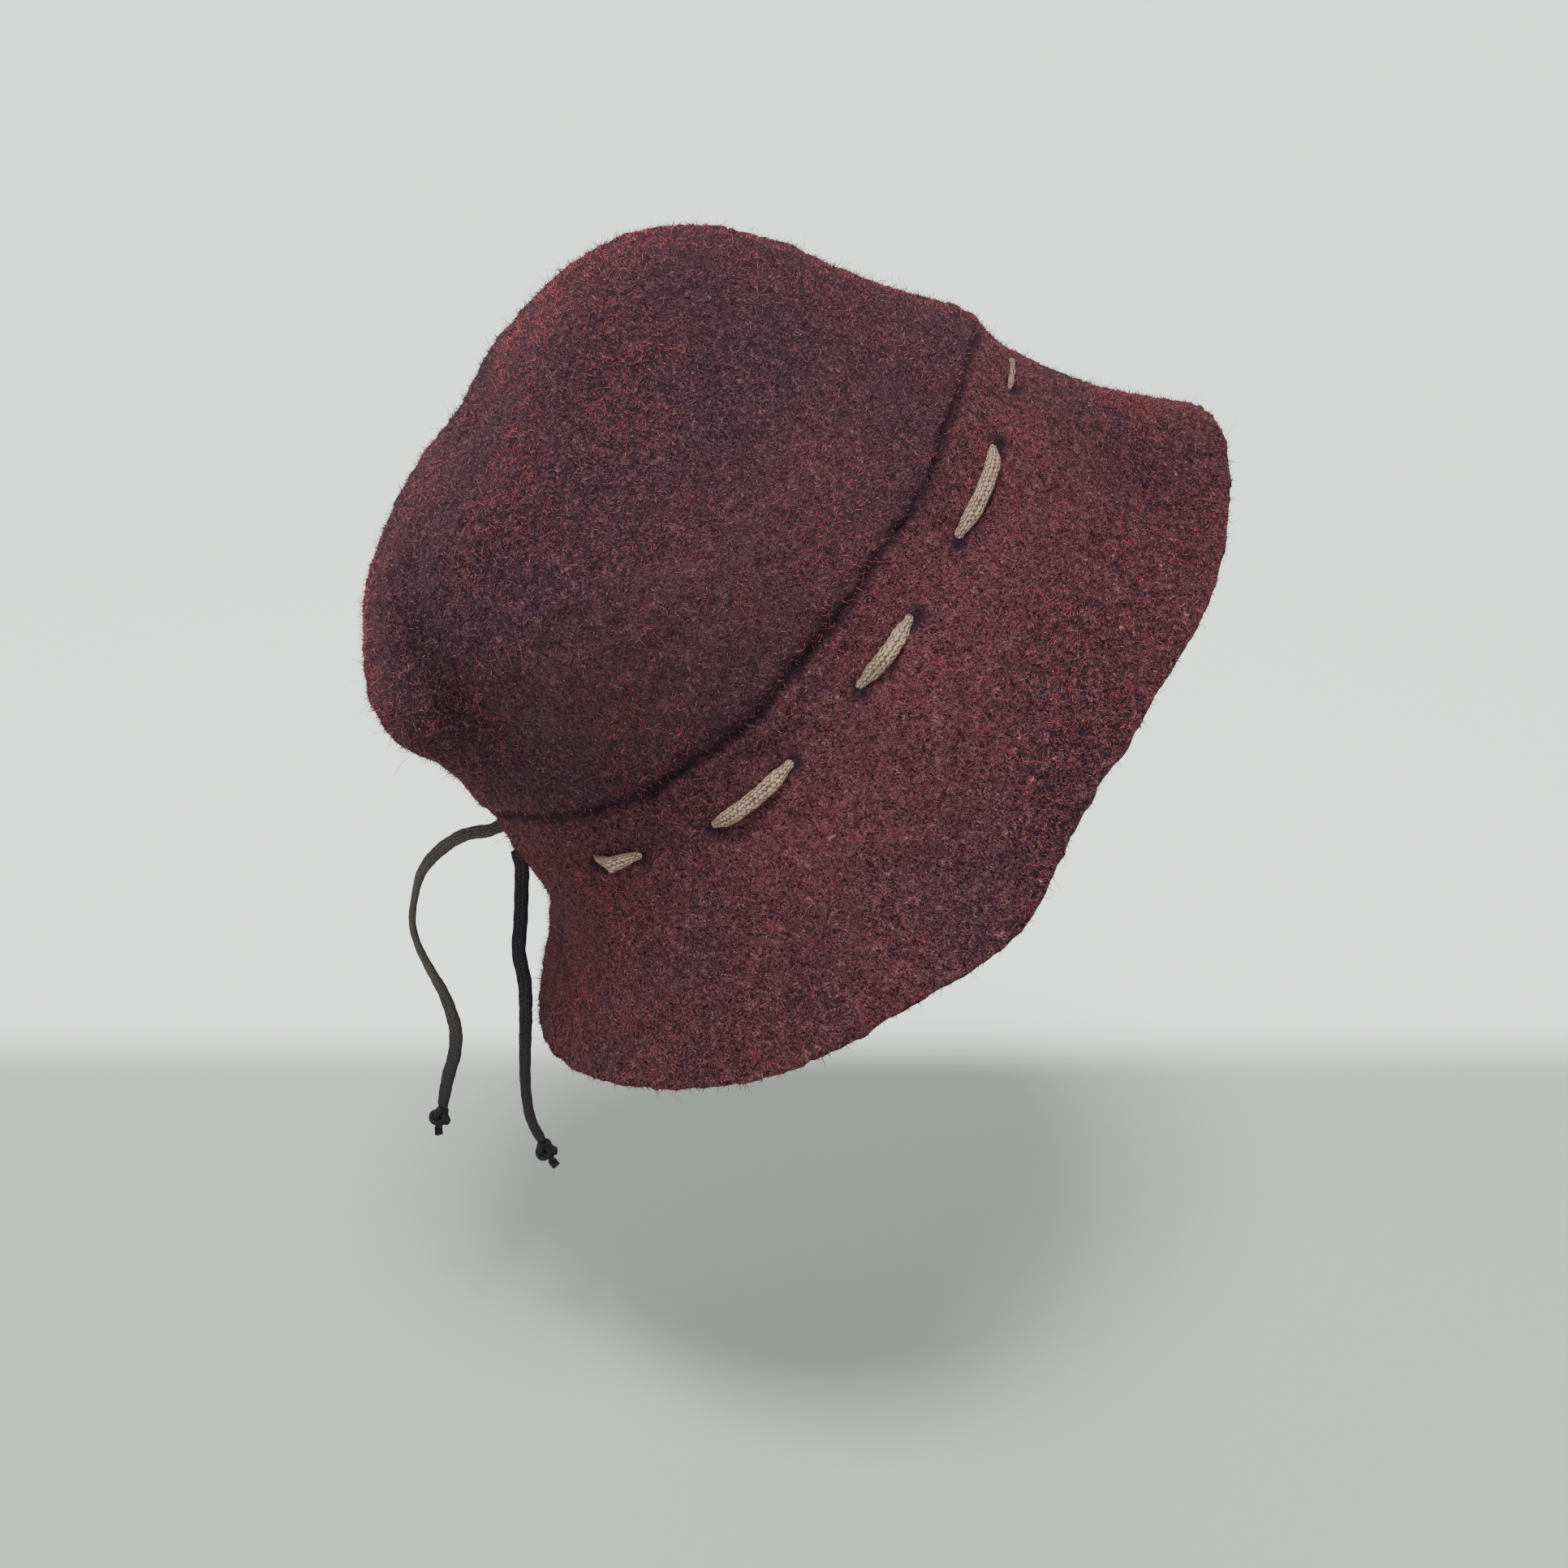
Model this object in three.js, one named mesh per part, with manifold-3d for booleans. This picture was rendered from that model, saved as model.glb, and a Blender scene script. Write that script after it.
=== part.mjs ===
// A soft felt hat with a rounded crown, a flared wavy brim and a flat drawcord laced in and out of slits round
// its band, in the shape it has when worn pushed back. Both ends of the cord hang loose at the back with a knot each.
//
// Millimetres. +Z is up and the ties hang down it. +X is towards the hat's front and -Y is its right side.
// The origin is the middle of the band, where a head holds the hat. The hat's own upright frame, in which its rows
// and angles are counted, is turned by TILT_BACK and LEAN. Angles go in degrees from the front round by the left side.

import * as THREE from "three";
import { mergeVertices } from "three/addons/utils/BufferGeometryUtils.js";
import Module from "manifold-3d";

// Overall shape of the felt. The oval is the outside of the band.
const OVAL_LENGTH = 206;
const OVAL_WIDTH = 166;
const CROWN_HEIGHT = 88;
const BAND_HEIGHT = 21.6;
const BRIM_FALL = 75;
const BRIM_FLARE = 45;
const FELT_WALL = 3;
const EDGE_ROUND = 1.05;
const TILT_BACK = 42.2;
const LEAN = 3.2;

// The seam round the foot of the crown: how far it dips at the sides, its groove and its raised lips.
const SEAM_DIP = 15;
const SEAM_GAP = 0.3;
const GROOVE_DEPTH = 1.5;
const GROOVE_WIDTH = 2.2;
const LIP_RISE = 0.7;
const LIP_OFFSET = 5;

// Depths that the dents of the crown and the folds of the brim are shares of.
const DENT_DEPTH = 6;
const FOLD_DEPTH = 6;

// The flat cord, how far below the seam it is laced, and its room in the slits and beside the felt.
const CORD_WIDTH = 4.6;
const CORD_THICKNESS = 2.4;
const LACE_DROP = 20;
const SLIT_CLEARANCE = 0.35;
const CORD_CLEARANCE = 0.55;
const SLIT_REACH = 5.5;
const EXIT_STUB = 3;
const LACE_BOW = 0.9;
const TIE_GAP = 0.3;
const KNOT_WIDTH = 8.6;
const KNOT_LENGTH = 14;
const KNOT_SIDES = 10;

// How finely the surfaces are divided.
const CROWN_TURNS = 60;
const BRIM_TURNS = 66;
const CORD_SIDES = 8;
const LACE_STEPS = 120;
const TIE_STEPS = 26;

// The crown from its seam to its top: the rise as a share of CROWN_HEIGHT, how far it reaches to the front and to
// the back as shares of half of OVAL_LENGTH, and its half width as a share of half of OVAL_WIDTH.
const CROWN_ROWS = [
  { rise: 0.0, front: 1.0, back: 1.0, side: 1.0 },
  { rise: 0.2, front: 0.895, back: 1.0, side: 1.03 },
  { rise: 0.4, front: 0.814, back: 1.03, side: 1.03 },
  { rise: 0.58, front: 0.76, back: 0.935, side: 0.97 },
  { rise: 0.76, front: 0.644, back: 0.74, side: 0.83 },
  { rise: 0.89, front: 0.514, back: 0.36, side: 0.62 },
  { rise: 0.97, front: 0.369, back: 0.013, side: 0.38 },
  { rise: 1.0, front: 0.202, back: -0.202, side: 0.0 },
];

// Rows of the crown at which its surface is divided.
const CROWN_DIVISIONS = [0, 0.15, 0.3, 0.6, 1, 1.5, 2, 2.5, 3, 3.5, 4, 4.5, 5, 5.6, 6.3];

// The brim's flare on its way down, both as shares.
const BRIM_PROFILE = [
  { down: 0.0, out: 0.0 },
  { down: 0.1, out: 0.01 },
  { down: 0.25, out: 0.08 },
  { down: 0.5, out: 0.3 },
  { down: 0.75, out: 0.62 },
  { down: 1.0, out: 1.0 },
];

// Shares of the way down the brim at which its surface is divided.
const BRIM_DIVISIONS = [0, 0.032, 0.065, 0.13, 0.21, 0.3, 0.4, 0.52, 0.65, 0.78, 0.9, 1.0];

// Round the hat by the degree: the seam's height as a share of SEAM_DIP, the edge of the brim below the band as a
// share of BRIM_FALL, its flare as a share of BRIM_FLARE, and the cord's drop as a share of LACE_DROP.
const ROUND_THE_HAT = [
  { angle: 0, seam: 0.05, fall: 0.71, flare: 0.76, lace: 0.8 },
  { angle: 30, seam: -0.21, fall: 0.74, flare: 0.84, lace: 0.82 },
  { angle: 60, seam: -0.53, fall: 0.81, flare: 0.84, lace: 0.82 },
  { angle: 90, seam: -0.69, fall: 0.86, flare: 0.88, lace: 0.84 },
  { angle: 120, seam: -0.55, fall: 0.83, flare: 0.95, lace: 0.9 },
  { angle: 150, seam: -0.29, fall: 0.76, flare: 1.03, lace: 0.93 },
  { angle: 180, seam: -0.21, fall: 0.75, flare: 1.02, lace: 0.95 },
  { angle: 210, seam: -0.36, fall: 0.85, flare: 0.87, lace: 0.94 },
  { angle: 240, seam: -1.08, fall: 0.975, flare: 0.78, lace: 0.88 },
  { angle: 255, seam: -1.13, fall: 0.987, flare: 0.753, lace: 0.842 },
  { angle: 270, seam: -1.01, fall: 1.04, flare: 0.72, lace: 0.8 },
  { angle: 285, seam: -0.78, fall: 0.885, flare: 0.66, lace: 0.78 },
  { angle: 300, seam: -0.52, fall: 0.85, flare: 0.59, lace: 0.77 },
  { angle: 330, seam: 0.07, fall: 0.84, flare: 0.55, lace: 0.79 },
];

// Dents of the crown: where, by angle and row, how wide each way, and the depth as a share of DENT_DEPTH.
// A depth below 0 is a bulge.
const CROWN_DENTS = [
  { angle: 195, row: 4.5, spread: 20, rows: 0.4, depth: -0.3 },
  { angle: 202, row: 5.35, spread: 16, rows: 0.35, depth: 0.7 },
  { angle: 200, row: 6.2, spread: 14, rows: 0.3, depth: -0.25 },
  { angle: 199, row: 3.0, spread: 10, rows: 0.6, depth: 0.2 },
  { angle: 160, row: 4.65, spread: 18, rows: 0.2, depth: -0.3 },
  { angle: 140, row: 5.7, spread: 16, rows: 0.3, depth: -0.3 },
  { angle: 4, row: 2.9, spread: 14, rows: 0.6, depth: 0.35 },
  { angle: 205, row: 3.3, spread: 6, rows: 0.9, depth: -0.4 },
  { angle: 217, row: 3.8, spread: 6, rows: 0.45, depth: 0.45 },
  { angle: 221, row: 3.1, spread: 6, rows: 0.45, depth: 0.65 },
  { angle: 226, row: 2.4, spread: 6.5, rows: 0.45, depth: 0.7 },
  { angle: 227, row: 1.75, spread: 7, rows: 0.4, depth: 0.7 },
  { angle: 223, row: 1.2, spread: 8, rows: 0.35, depth: 0.4 },
  { angle: 237, row: 4.8, spread: 13, rows: 0.4, depth: 0.4 },
  { angle: 288, row: 4.6, spread: 14, rows: 0.5, depth: 0.3 },
  { angle: 280, row: 2.0, spread: 24, rows: 0.9, depth: -0.25 },
  { angle: 130, row: 4.2, spread: 18, rows: 0.6, depth: 0.35 },
  { angle: 60, row: 2.8, spread: 20, rows: 0.9, depth: 0.25 },
  { angle: 110, row: 1.6, spread: 14, rows: 0.6, depth: 0.3 },
];

// Folds of the brim: where, by angle and share of the way down, how wide each way, and the depth inwards as a
// share of FOLD_DEPTH.
const BRIM_FOLDS = [
  { angle: 340, down: 0.75, spread: 9, downs: 0.15, depth: 0.9 },
  { angle: 356, down: 1.0, spread: 8, downs: 0.16, depth: -0.2 },
  { angle: 316, down: 0.68, spread: 8, downs: 0.13, depth: 0.4 },
  { angle: 302, down: 0.8, spread: 8, downs: 0.13, depth: 0.4 },
  { angle: 293, down: 0.92, spread: 8, downs: 0.15, depth: 0.5 },
  { angle: 272, down: 0.96, spread: 9, downs: 0.15, depth: 0.1 },
  { angle: 284, down: 0.42, spread: 22, downs: 0.17, depth: -0.6 },
  { angle: 257, down: 0.9, spread: 8, downs: 0.2, depth: -0.1 },
  { angle: 188, down: 0.62, spread: 16, downs: 0.17, depth: 1.0 },
  { angle: 190, down: 0.93, spread: 12, downs: 0.13, depth: -0.6 },
  { angle: 150, down: 0.8, spread: 11, downs: 0.22, depth: 0.4 },
  { angle: 110, down: 0.95, spread: 10, downs: 0.2, depth: -0.4 },
  { angle: 85, down: 0.85, spread: 10, downs: 0.2, depth: 0.45 },
  { angle: 50, down: 0.95, spread: 12, downs: 0.2, depth: -0.35 },
  { angle: 24, down: 0.8, spread: 10, downs: 0.2, depth: 0.2 },
];

// The cord shows outside the band between each pair of angles and runs inside the felt between them.
const STITCHES = [
  { out: 144, in: 131 },
  { out: 118, in: 103 },
  { out: 89, in: 75 },
  { out: 60, in: 45 },
  { out: 29, in: 13 },
  { out: 352, in: 340 },
  { out: 321.5, in: 305 },
  { out: 289, in: 278 },
  { out: 261, in: 246 },
  { out: 228.5, in: 220.5 },
];
const LEFT_EXIT = 174;
const RIGHT_EXIT = 187;

// How the cord leaves its end slits: on round as a share of SLIT_REACH, out of the felt and down as shares of
// EXIT_STUB. The left end springs out and the right end drops.
const LEFT_STUB = [
  { turn: 0.35, out: 0, sink: 0 },
  { turn: 0.5, out: 1, sink: 0 },
];
const RIGHT_STUB = [
  { turn: 0.35, out: 0, sink: 0.3 },
  { turn: 0.5, out: 0.25, sink: 1.6 },
];

// The loose ends, from the slit to the knot, in the part's own frame.
const LEFT_TIE = [
  [-83.1, 6.9, -73.3], [-87.3, 6.2, -74.8], [-91.5, 6.8, -75.4], [-96.6, 7.8, -77.2], [-104.2, 9, -82.8],
  [-109.7, 10, -89.8], [-112.6, 11, -98.8],
  [-114.2, 12, -109], [-112.9, 12, -117], [-109.8, 12, -125.5], [-105.9, 12, -134.8], [-103.8, 12, -142.5],
  [-102.8, 12, -149], [-103.6, 12, -157.6], [-106.4, 12, -166.8], [-108.7, 12, -176.5],
];
const RIGHT_TIE = [
  [-77.5, -8.3, -77.6], [-76.9, -7.9, -81.6], [-77.3, -8.8, -89], [-78.1, -10.6, -99.5], [-79.1, -12, -109],
  [-77.8, -12.5, -120], [-78, -13, -131], [-78.9, -13.5, -144.5], [-79.3, -14, -158.3], [-78.2, -14, -169.3],
  [-75.8, -14, -176],
];

// A knot and its short tail from the top down: the reach from its middle as a share of KNOT_WIDTH, and the way
// down as a share of KNOT_LENGTH.
const KNOT_OUTLINE = [
  { reach: 0, down: 0 },
  { reach: 0.2, down: 0 },
  { reach: 0.46, down: 0.1 },
  { reach: 0.5, down: 0.28 },
  { reach: 0.42, down: 0.5 },
  { reach: 0.24, down: 0.66 },
  { reach: 0.18, down: 0.8 },
  { reach: 0.24, down: 1 },
  { reach: 0, down: 1 },
];

const felt = new THREE.MeshStandardMaterial({ color: 0x5a2e34, roughness: 0.95, metalness: 0 });
const crownFelt = new THREE.MeshStandardMaterial({ color: 0x4e2a32, roughness: 0.95, metalness: 0 });
const braid = new THREE.MeshStandardMaterial({ color: 0x8a7a72, roughness: 0.8, metalness: 0 });
const darkBraid = new THREE.MeshStandardMaterial({ color: 0x2e3330, roughness: 0.8, metalness: 0 });

const wasm = await Module();
wasm.setup();

// A smooth cubic through the values at rising places.
function along(places, values, at) {
  let i = 0;
  while (i < places.length - 2 && at >= places[i + 1]) i += 1;
  const slope = (k) => {
    const a = Math.max(k - 1, 0);
    const b = Math.min(k + 1, places.length - 1);
    if (a === k || b === k) return (values[b] - values[a]) / (places[b] - places[a]);
    const before = places[k] - places[a];
    const after = places[b] - places[k];
    const first = (values[k] - values[a]) / before;
    const second = (values[b] - values[k]) / after;
    return (first * after + second * before) / (before + after);
  };
  const h = places[i + 1] - places[i];
  const q = (at - places[i]) / h;
  const q2 = q * q;
  const q3 = q2 * q;
  const start = (2 * q3 - 3 * q2 + 1) * values[i] + (q3 - 2 * q2 + q) * h * slope(i);
  return start + (3 * q2 - 2 * q3) * values[i + 1] + (q3 - q2) * h * slope(i + 1);
}

// A column of the table that goes round the hat, smooth across the front too.
function around(column, degrees) {
  const turn = 360;
  const places = [-turn, 0, turn].flatMap((shift) => ROUND_THE_HAT.map((row) => row.angle + shift));
  const values = [-turn, 0, turn].flatMap(() => ROUND_THE_HAT.map((row) => row[column]));
  return along(places, values, ((degrees % turn) + turn) % turn);
}

// A column of the crown's table, mirrored past the top so that the top is round.
function crownColumn(column, row) {
  const top = CROWN_ROWS.length - 1;
  const mirrored = {
    rise: CROWN_ROWS[top - 1].rise,
    front: -CROWN_ROWS[top - 1].back,
    back: -CROWN_ROWS[top - 1].front,
    side: -CROWN_ROWS[top - 1].side,
  };
  const rows = [...CROWN_ROWS, mirrored];
  return along(rows.map((_, k) => k), rows.map((r) => r[column]), row);
}

// Small steps by which slopes are taken, in degrees and in shares of the way.
const TURN_STEP = 0.5;
const PLACE_STEP = 0.01;
const EDGE_STEP = 0.04;

const radians = THREE.MathUtils.degToRad;
const bell = (distance, width) => Math.exp(-0.5 * (distance / width) ** 2);
const turnBetween = (a, b) => ((((a - b + 180) % 360) + 360) % 360) - 180;

// The level direction straight out of the oval.
function outward(angle) {
  const x = Math.cos(radians(angle)) * OVAL_WIDTH;
  const y = Math.sin(radians(angle)) * OVAL_LENGTH;
  return new THREE.Vector3(x, y, 0).normalize();
}

const seamHeight = (angle) => BAND_HEIGHT + SEAM_DIP * around("seam", angle);

// Beside the seam the felt turns in to the groove and then stands up in a lip.
function seamRelief(distance) {
  return LIP_RISE * bell(distance - LIP_OFFSET, GROOVE_WIDTH) - GROOVE_DEPTH * bell(distance, GROOVE_WIDTH);
}

// The crown before its dents: rings set by the table, and the seam's dip fading out half way up.
function crownForm(angle, row) {
  const a = radians(angle);
  const front = crownColumn("front", row);
  const back = crownColumn("back", row);
  const rise = crownColumn("rise", row);
  const half = OVAL_LENGTH / 2;
  const fade = Math.max(1 - 2 * rise, 0) ** 2;
  return new THREE.Vector3(
    half * ((front - back) / 2 + ((front + back) / 2) * Math.cos(a)),
    (OVAL_WIDTH / 2) * crownColumn("side", row) * Math.sin(a),
    BAND_HEIGHT + CROWN_HEIGHT * rise + (seamHeight(angle) - BAND_HEIGHT) * fade,
  );
}

// The brim before its folds: from the seam down to the edge, flaring from the oval by the profile.
function brimForm(angle, down) {
  const a = radians(angle);
  const out = along(BRIM_PROFILE.map((r) => r.down), BRIM_PROFILE.map((r) => r.out), down);
  const oval = new THREE.Vector3((OVAL_LENGTH / 2) * Math.cos(a), (OVAL_WIDTH / 2) * Math.sin(a), 0);
  const point = oval.addScaledVector(outward(angle), out * BRIM_FLARE * around("flare", angle));
  point.z = seamHeight(angle) * (1 - down) - BRIM_FALL * around("fall", angle) * down;
  return point;
}

// The direction straight out of a form, by its slopes both ways.
function normalOf(form, angle, place, least, most) {
  const low = Math.max(place - PLACE_STEP, least);
  const high = Math.min(place + PLACE_STEP, most);
  const across = form(angle + TURN_STEP, place).sub(form(angle - TURN_STEP, place));
  const up = form(angle, high).sub(form(angle, low));
  return across.cross(up).normalize();
}

// The normal at the crown's very top is taken a little below it, where the rings still have a width.
const TOP_ROW = CROWN_ROWS.length - 1;
const BELOW_TOP = 0.1;

function crownNormal(angle, row) {
  if (row === 0) return outward(angle);
  return normalOf(crownForm, angle, Math.min(row, TOP_ROW - BELOW_TOP), 0, TOP_ROW);
}

function brimNormal(angle, down) {
  if (down === 0) return outward(angle);
  return normalOf(brimForm, angle, down, 0, 1).negate();
}

// The outside of the crown, dented, at the inside when a wall is given.
function crownPoint(angle, row, wall = 0) {
  const distance = CROWN_HEIGHT * crownColumn("rise", row);
  let depth = seamRelief(distance);
  for (const dent of CROWN_DENTS) {
    depth -= DENT_DEPTH * dent.depth * bell(turnBetween(angle, dent.angle), dent.spread) *
      bell(row - dent.row, dent.rows);
  }
  const inside = wall > 0 ? depth - wall - seamRelief(distance) : depth;
  const point = crownForm(angle, row).addScaledVector(crownNormal(angle, row), inside);
  if (row === 0) point.z += SEAM_GAP / 2;
  return point;
}

// The outside of the brim, folded, at the inside when a wall is given.
function brimPoint(angle, down, wall = 0) {
  const distance = (seamHeight(angle) + BRIM_FALL * around("fall", angle)) * down;
  let depth = seamRelief(distance);
  for (const fold of BRIM_FOLDS) {
    depth -= FOLD_DEPTH * fold.depth * bell(turnBetween(angle, fold.angle), fold.spread) *
      bell(down - fold.down, fold.downs);
  }
  const inside = wall > 0 ? depth - wall - seamRelief(distance) : depth;
  const point = brimForm(angle, down).addScaledVector(brimNormal(angle, down), inside);
  if (down === 0) point.z -= SEAM_GAP / 2;
  return point;
}

// A closed body from rings of points that all have as many points. The first ring joins on to the last one,
// or, where a pole is given at both ends, each end closes on its pole.
function bodyOfRings(rings, poles) {
  const turns = rings[0].length;
  const points = rings.flat();
  const faces = [];
  const joined = poles ? rings.length - 1 : rings.length;
  for (let r = 0; r < joined; r += 1) {
    for (let k = 0; k < turns; k += 1) {
      const a = r * turns + k;
      const b = r * turns + ((k + 1) % turns);
      const next = ((r + 1) % rings.length) * turns;
      const c = next + ((k + 1) % turns);
      const d = next + k;
      faces.push(a, b, c, a, c, d);
    }
  }
  if (poles) {
    const [first, last] = poles;
    points.push(first, last);
    const lastRing = (rings.length - 1) * turns;
    for (let k = 0; k < turns; k += 1) {
      const next = (k + 1) % turns;
      faces.push(points.length - 2, next, k);
      faces.push(points.length - 1, lastRing + k, lastRing + next);
    }
  }
  const geometry = new THREE.BufferGeometry();
  const flat = points.flatMap((p) => [p.x, p.y, p.z]);
  geometry.setAttribute("position", new THREE.Float32BufferAttribute(flat, 3));
  geometry.setIndex(faces);
  return geometry;
}

function ring(turns, point) {
  return Array.from({ length: turns }, (_, k) => point((360 * k) / turns));
}

// The crown is a cap: down its inside from the top, round its raw edge, and up its outside.
function makeCrown() {
  const inside = [...CROWN_DIVISIONS].reverse().map((row) => ring(CROWN_TURNS, (a) => crownPoint(a, row, FELT_WALL)));
  const outside = CROWN_DIVISIONS.map((row) => ring(CROWN_TURNS, (a) => crownPoint(a, row)));
  const top = crownPoint(0, TOP_ROW);
  const under = crownPoint(0, TOP_ROW, FELT_WALL);
  return bodyOfRings([...inside, ...outside], [under, top]);
}

// The brim is a ring: from its slightly rounded edge up its outside, and down its inside.
function makeBrim() {
  const inside = [...BRIM_DIVISIONS].reverse().map((s) => ring(BRIM_TURNS, (a) => brimPoint(a, s, FELT_WALL)));
  const outside = BRIM_DIVISIONS.map((s) => ring(BRIM_TURNS, (a) => brimPoint(a, s)));
  const edge = ring(BRIM_TURNS, (a) => {
    const middle = brimPoint(a, 1, FELT_WALL / 2);
    const way = brimPoint(a, 1).sub(brimPoint(a, 1 - EDGE_STEP)).normalize();
    return middle.addScaledVector(way, EDGE_ROUND);
  });
  return bodyOfRings([edge, ...outside.reverse(), ...inside.reverse()], null);
}

// The cord's line round the band: offset outwards from the felt's outer face.
function lacePoint(angle, offset, sink = 0) {
  const drop = LACE_DROP * around("lace", angle) + sink;
  const down = drop / (seamHeight(angle) + BRIM_FALL * around("fall", angle));
  return brimPoint(angle, down).addScaledVector(brimNormal(angle, down), offset);
}

function laceNormal(angle) {
  const drop = LACE_DROP * around("lace", angle);
  return brimNormal(angle, drop / (seamHeight(angle) + BRIM_FALL * around("fall", angle)));
}

const OUTSIDE = CORD_CLEARANCE + CORD_THICKNESS / 2;
const INSIDE = -FELT_WALL - CORD_CLEARANCE - CORD_THICKNESS / 2;
const degreesPerMillimetre = 360 / ((Math.PI * (OVAL_LENGTH + OVAL_WIDTH)) / 2);

// The cord's points: out of the left exit, then in and out of the slits round the front, to the right exit.
function laceRoute() {
  const reach = SLIT_REACH * degreesPerMillimetre;
  const holes = [LEFT_EXIT, ...STITCHES.flatMap((s) => [s.out, s.in]), RIGHT_EXIT];
  const unwound = [];
  let last = Infinity;
  for (const hole of holes) {
    let angle = hole;
    while (angle > last) angle -= 360;
    unwound.push(angle);
    last = angle;
  }
  const points = [];
  unwound.forEach((angle, k) => {
    const before = k % 2 === 0 ? OUTSIDE : INSIDE;
    const after = k % 2 === 0 ? INSIDE : OUTSIDE;
    if (k > 0) points.push({ angle: angle + reach, offset: before });
    points.push({ angle, offset: -FELT_WALL / 2 });
    if (k === unwound.length - 1) return;
    points.push({ angle: angle - reach, offset: after });
    const bow = after === OUTSIDE ? LACE_BOW : 0;
    points.push({ angle: (angle + unwound[k + 1]) / 2, offset: after + bow });
  });
  for (const { turn, out, sink } of LEFT_STUB) {
    points.unshift({ angle: LEFT_EXIT + reach * turn, offset: OUTSIDE + out * EXIT_STUB, sink: sink * EXIT_STUB });
  }
  for (const { turn, out, sink } of RIGHT_STUB) {
    points.push({ angle: last - reach * turn, offset: OUTSIDE + out * EXIT_STUB, sink: sink * EXIT_STUB });
  }
  return points;
}

// A curve beside the felt whose flat side stays on the felt.
class LaceCurve extends THREE.CatmullRomCurve3 {
  constructor(route) {
    super(route.map((p) => lacePoint(p.angle, p.offset, p.sink)), false, "centripetal");
    this.route = route;
  }

  computeFrenetFrames(steps) {
    const tangents = [];
    const normals = [];
    const binormals = [];
    for (let k = 0; k <= steps; k += 1) {
      const u = k / steps;
      const t = this.getUtoTmapping(u) * (this.route.length - 1);
      const i = Math.min(Math.floor(t), this.route.length - 2);
      const angle = THREE.MathUtils.lerp(this.route[i].angle, this.route[i + 1].angle, t - i);
      const tangent = this.getTangentAt(u);
      const binormal = tangent.clone().cross(laceNormal(angle)).normalize();
      tangents.push(tangent);
      normals.push(binormal.clone().cross(tangent).normalize());
      binormals.push(binormal);
    }
    return { tangents, normals, binormals };
  }
}

// The section of the flat cord, with its thickness along x.
function cordSection() {
  const shape = new THREE.Shape();
  for (let k = 0; k < CORD_SIDES; k += 1) {
    const a = (2 * Math.PI * (k + 0.5)) / CORD_SIDES;
    const reach = 1 / Math.cos(Math.PI / CORD_SIDES);
    const x = (CORD_THICKNESS / 2) * reach * Math.cos(a);
    const y = (CORD_WIDTH / 2) * reach * Math.sin(a);
    if (k === 0) shape.moveTo(x, y);
    else shape.lineTo(x, y);
  }
  shape.closePath();
  return shape;
}

// The plain cut that the cord goes through.
function slitSection() {
  const x = CORD_THICKNESS / 2 + SLIT_CLEARANCE;
  const y = CORD_WIDTH / 2 + SLIT_CLEARANCE;
  return new THREE.Shape([[-x, -y], [x, -y], [x, y], [-x, y]].map(([a, b]) => new THREE.Vector2(a, b)));
}

const sweep = (section, path, steps) =>
  new THREE.ExtrudeGeometry(section, { extrudePath: path, steps, curveSegments: 1 });

// A geometry as a solid that can be cut, and a solid back as a geometry.
function solidOf(geometry) {
  const weld = 1e-4;
  const bare = geometry.clone();
  bare.deleteAttribute("normal");
  bare.deleteAttribute("uv");
  const merged = mergeVertices(bare.index ? bare.toNonIndexed() : bare, weld);
  return new wasm.Manifold(new wasm.Mesh({
    numProp: 3,
    vertProperties: new Float32Array(merged.attributes.position.array),
    triVerts: new Uint32Array(merged.index.array),
  }));
}

function geometryOf(solid) {
  const mesh = solid.getMesh();
  const geometry = new THREE.BufferGeometry();
  geometry.setAttribute("position", new THREE.Float32BufferAttribute(mesh.vertProperties, 3));
  geometry.setIndex(Array.from(mesh.triVerts));
  return geometry;
}

function named(name, geometry, material) {
  geometry.computeVertexNormals();
  const mesh = new THREE.Mesh(geometry, material);
  mesh.name = name;
  return mesh;
}

// A loose end of the cord, which starts just clear of the laced stretch and stops just clear of its knot.
function makeTie(points) {
  const path = new THREE.CatmullRomCurve3(points.map((p) => new THREE.Vector3(...p)), false, "centripetal");
  return sweep(cordSection(), path, TIE_STEPS);
}

// A knot with its short tail, turned on a line and hung below the end of its tie.
function makeKnot(points) {
  const profile = KNOT_OUTLINE.map((row) => new THREE.Vector2(row.reach * KNOT_WIDTH, -row.down * KNOT_LENGTH));
  const geometry = new THREE.LatheGeometry(profile.reverse(), KNOT_SIDES);
  const end = new THREE.Vector3(...points[points.length - 1]);
  const before = new THREE.Vector3(...points[points.length - 2]);
  const way = end.clone().sub(before).normalize();
  const turn = new THREE.Quaternion().setFromUnitVectors(new THREE.Vector3(0, -1, 0), way);
  geometry.applyQuaternion(turn);
  end.addScaledVector(way, TIE_GAP);
  geometry.translate(end.x, end.y, end.z);
  return geometry;
}

const laceCurve = new LaceCurve(laceRoute());
const slits = solidOf(sweep(slitSection(), laceCurve, LACE_STEPS));
const brimSolid = solidOf(makeBrim()).subtract(slits);

const hat = new THREE.Group();
hat.rotation.set(radians(LEAN), -radians(TILT_BACK), 0, "YXZ");
hat.add(named("crown", makeCrown(), crownFelt));
hat.add(named("brim", geometryOf(brimSolid), felt));
hat.add(named("drawcord", sweep(cordSection(), laceCurve, LACE_STEPS), braid));

const part = new THREE.Group();
part.name = "felt_hat_with_drawcord";
part.add(hat);
part.add(named("tie_left", makeTie(LEFT_TIE), darkBraid));
part.add(named("tie_right", makeTie(RIGHT_TIE), darkBraid));
part.add(named("knot_left", makeKnot(LEFT_TIE), darkBraid));
part.add(named("knot_right", makeKnot(RIGHT_TIE), darkBraid));

export default part;
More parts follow.
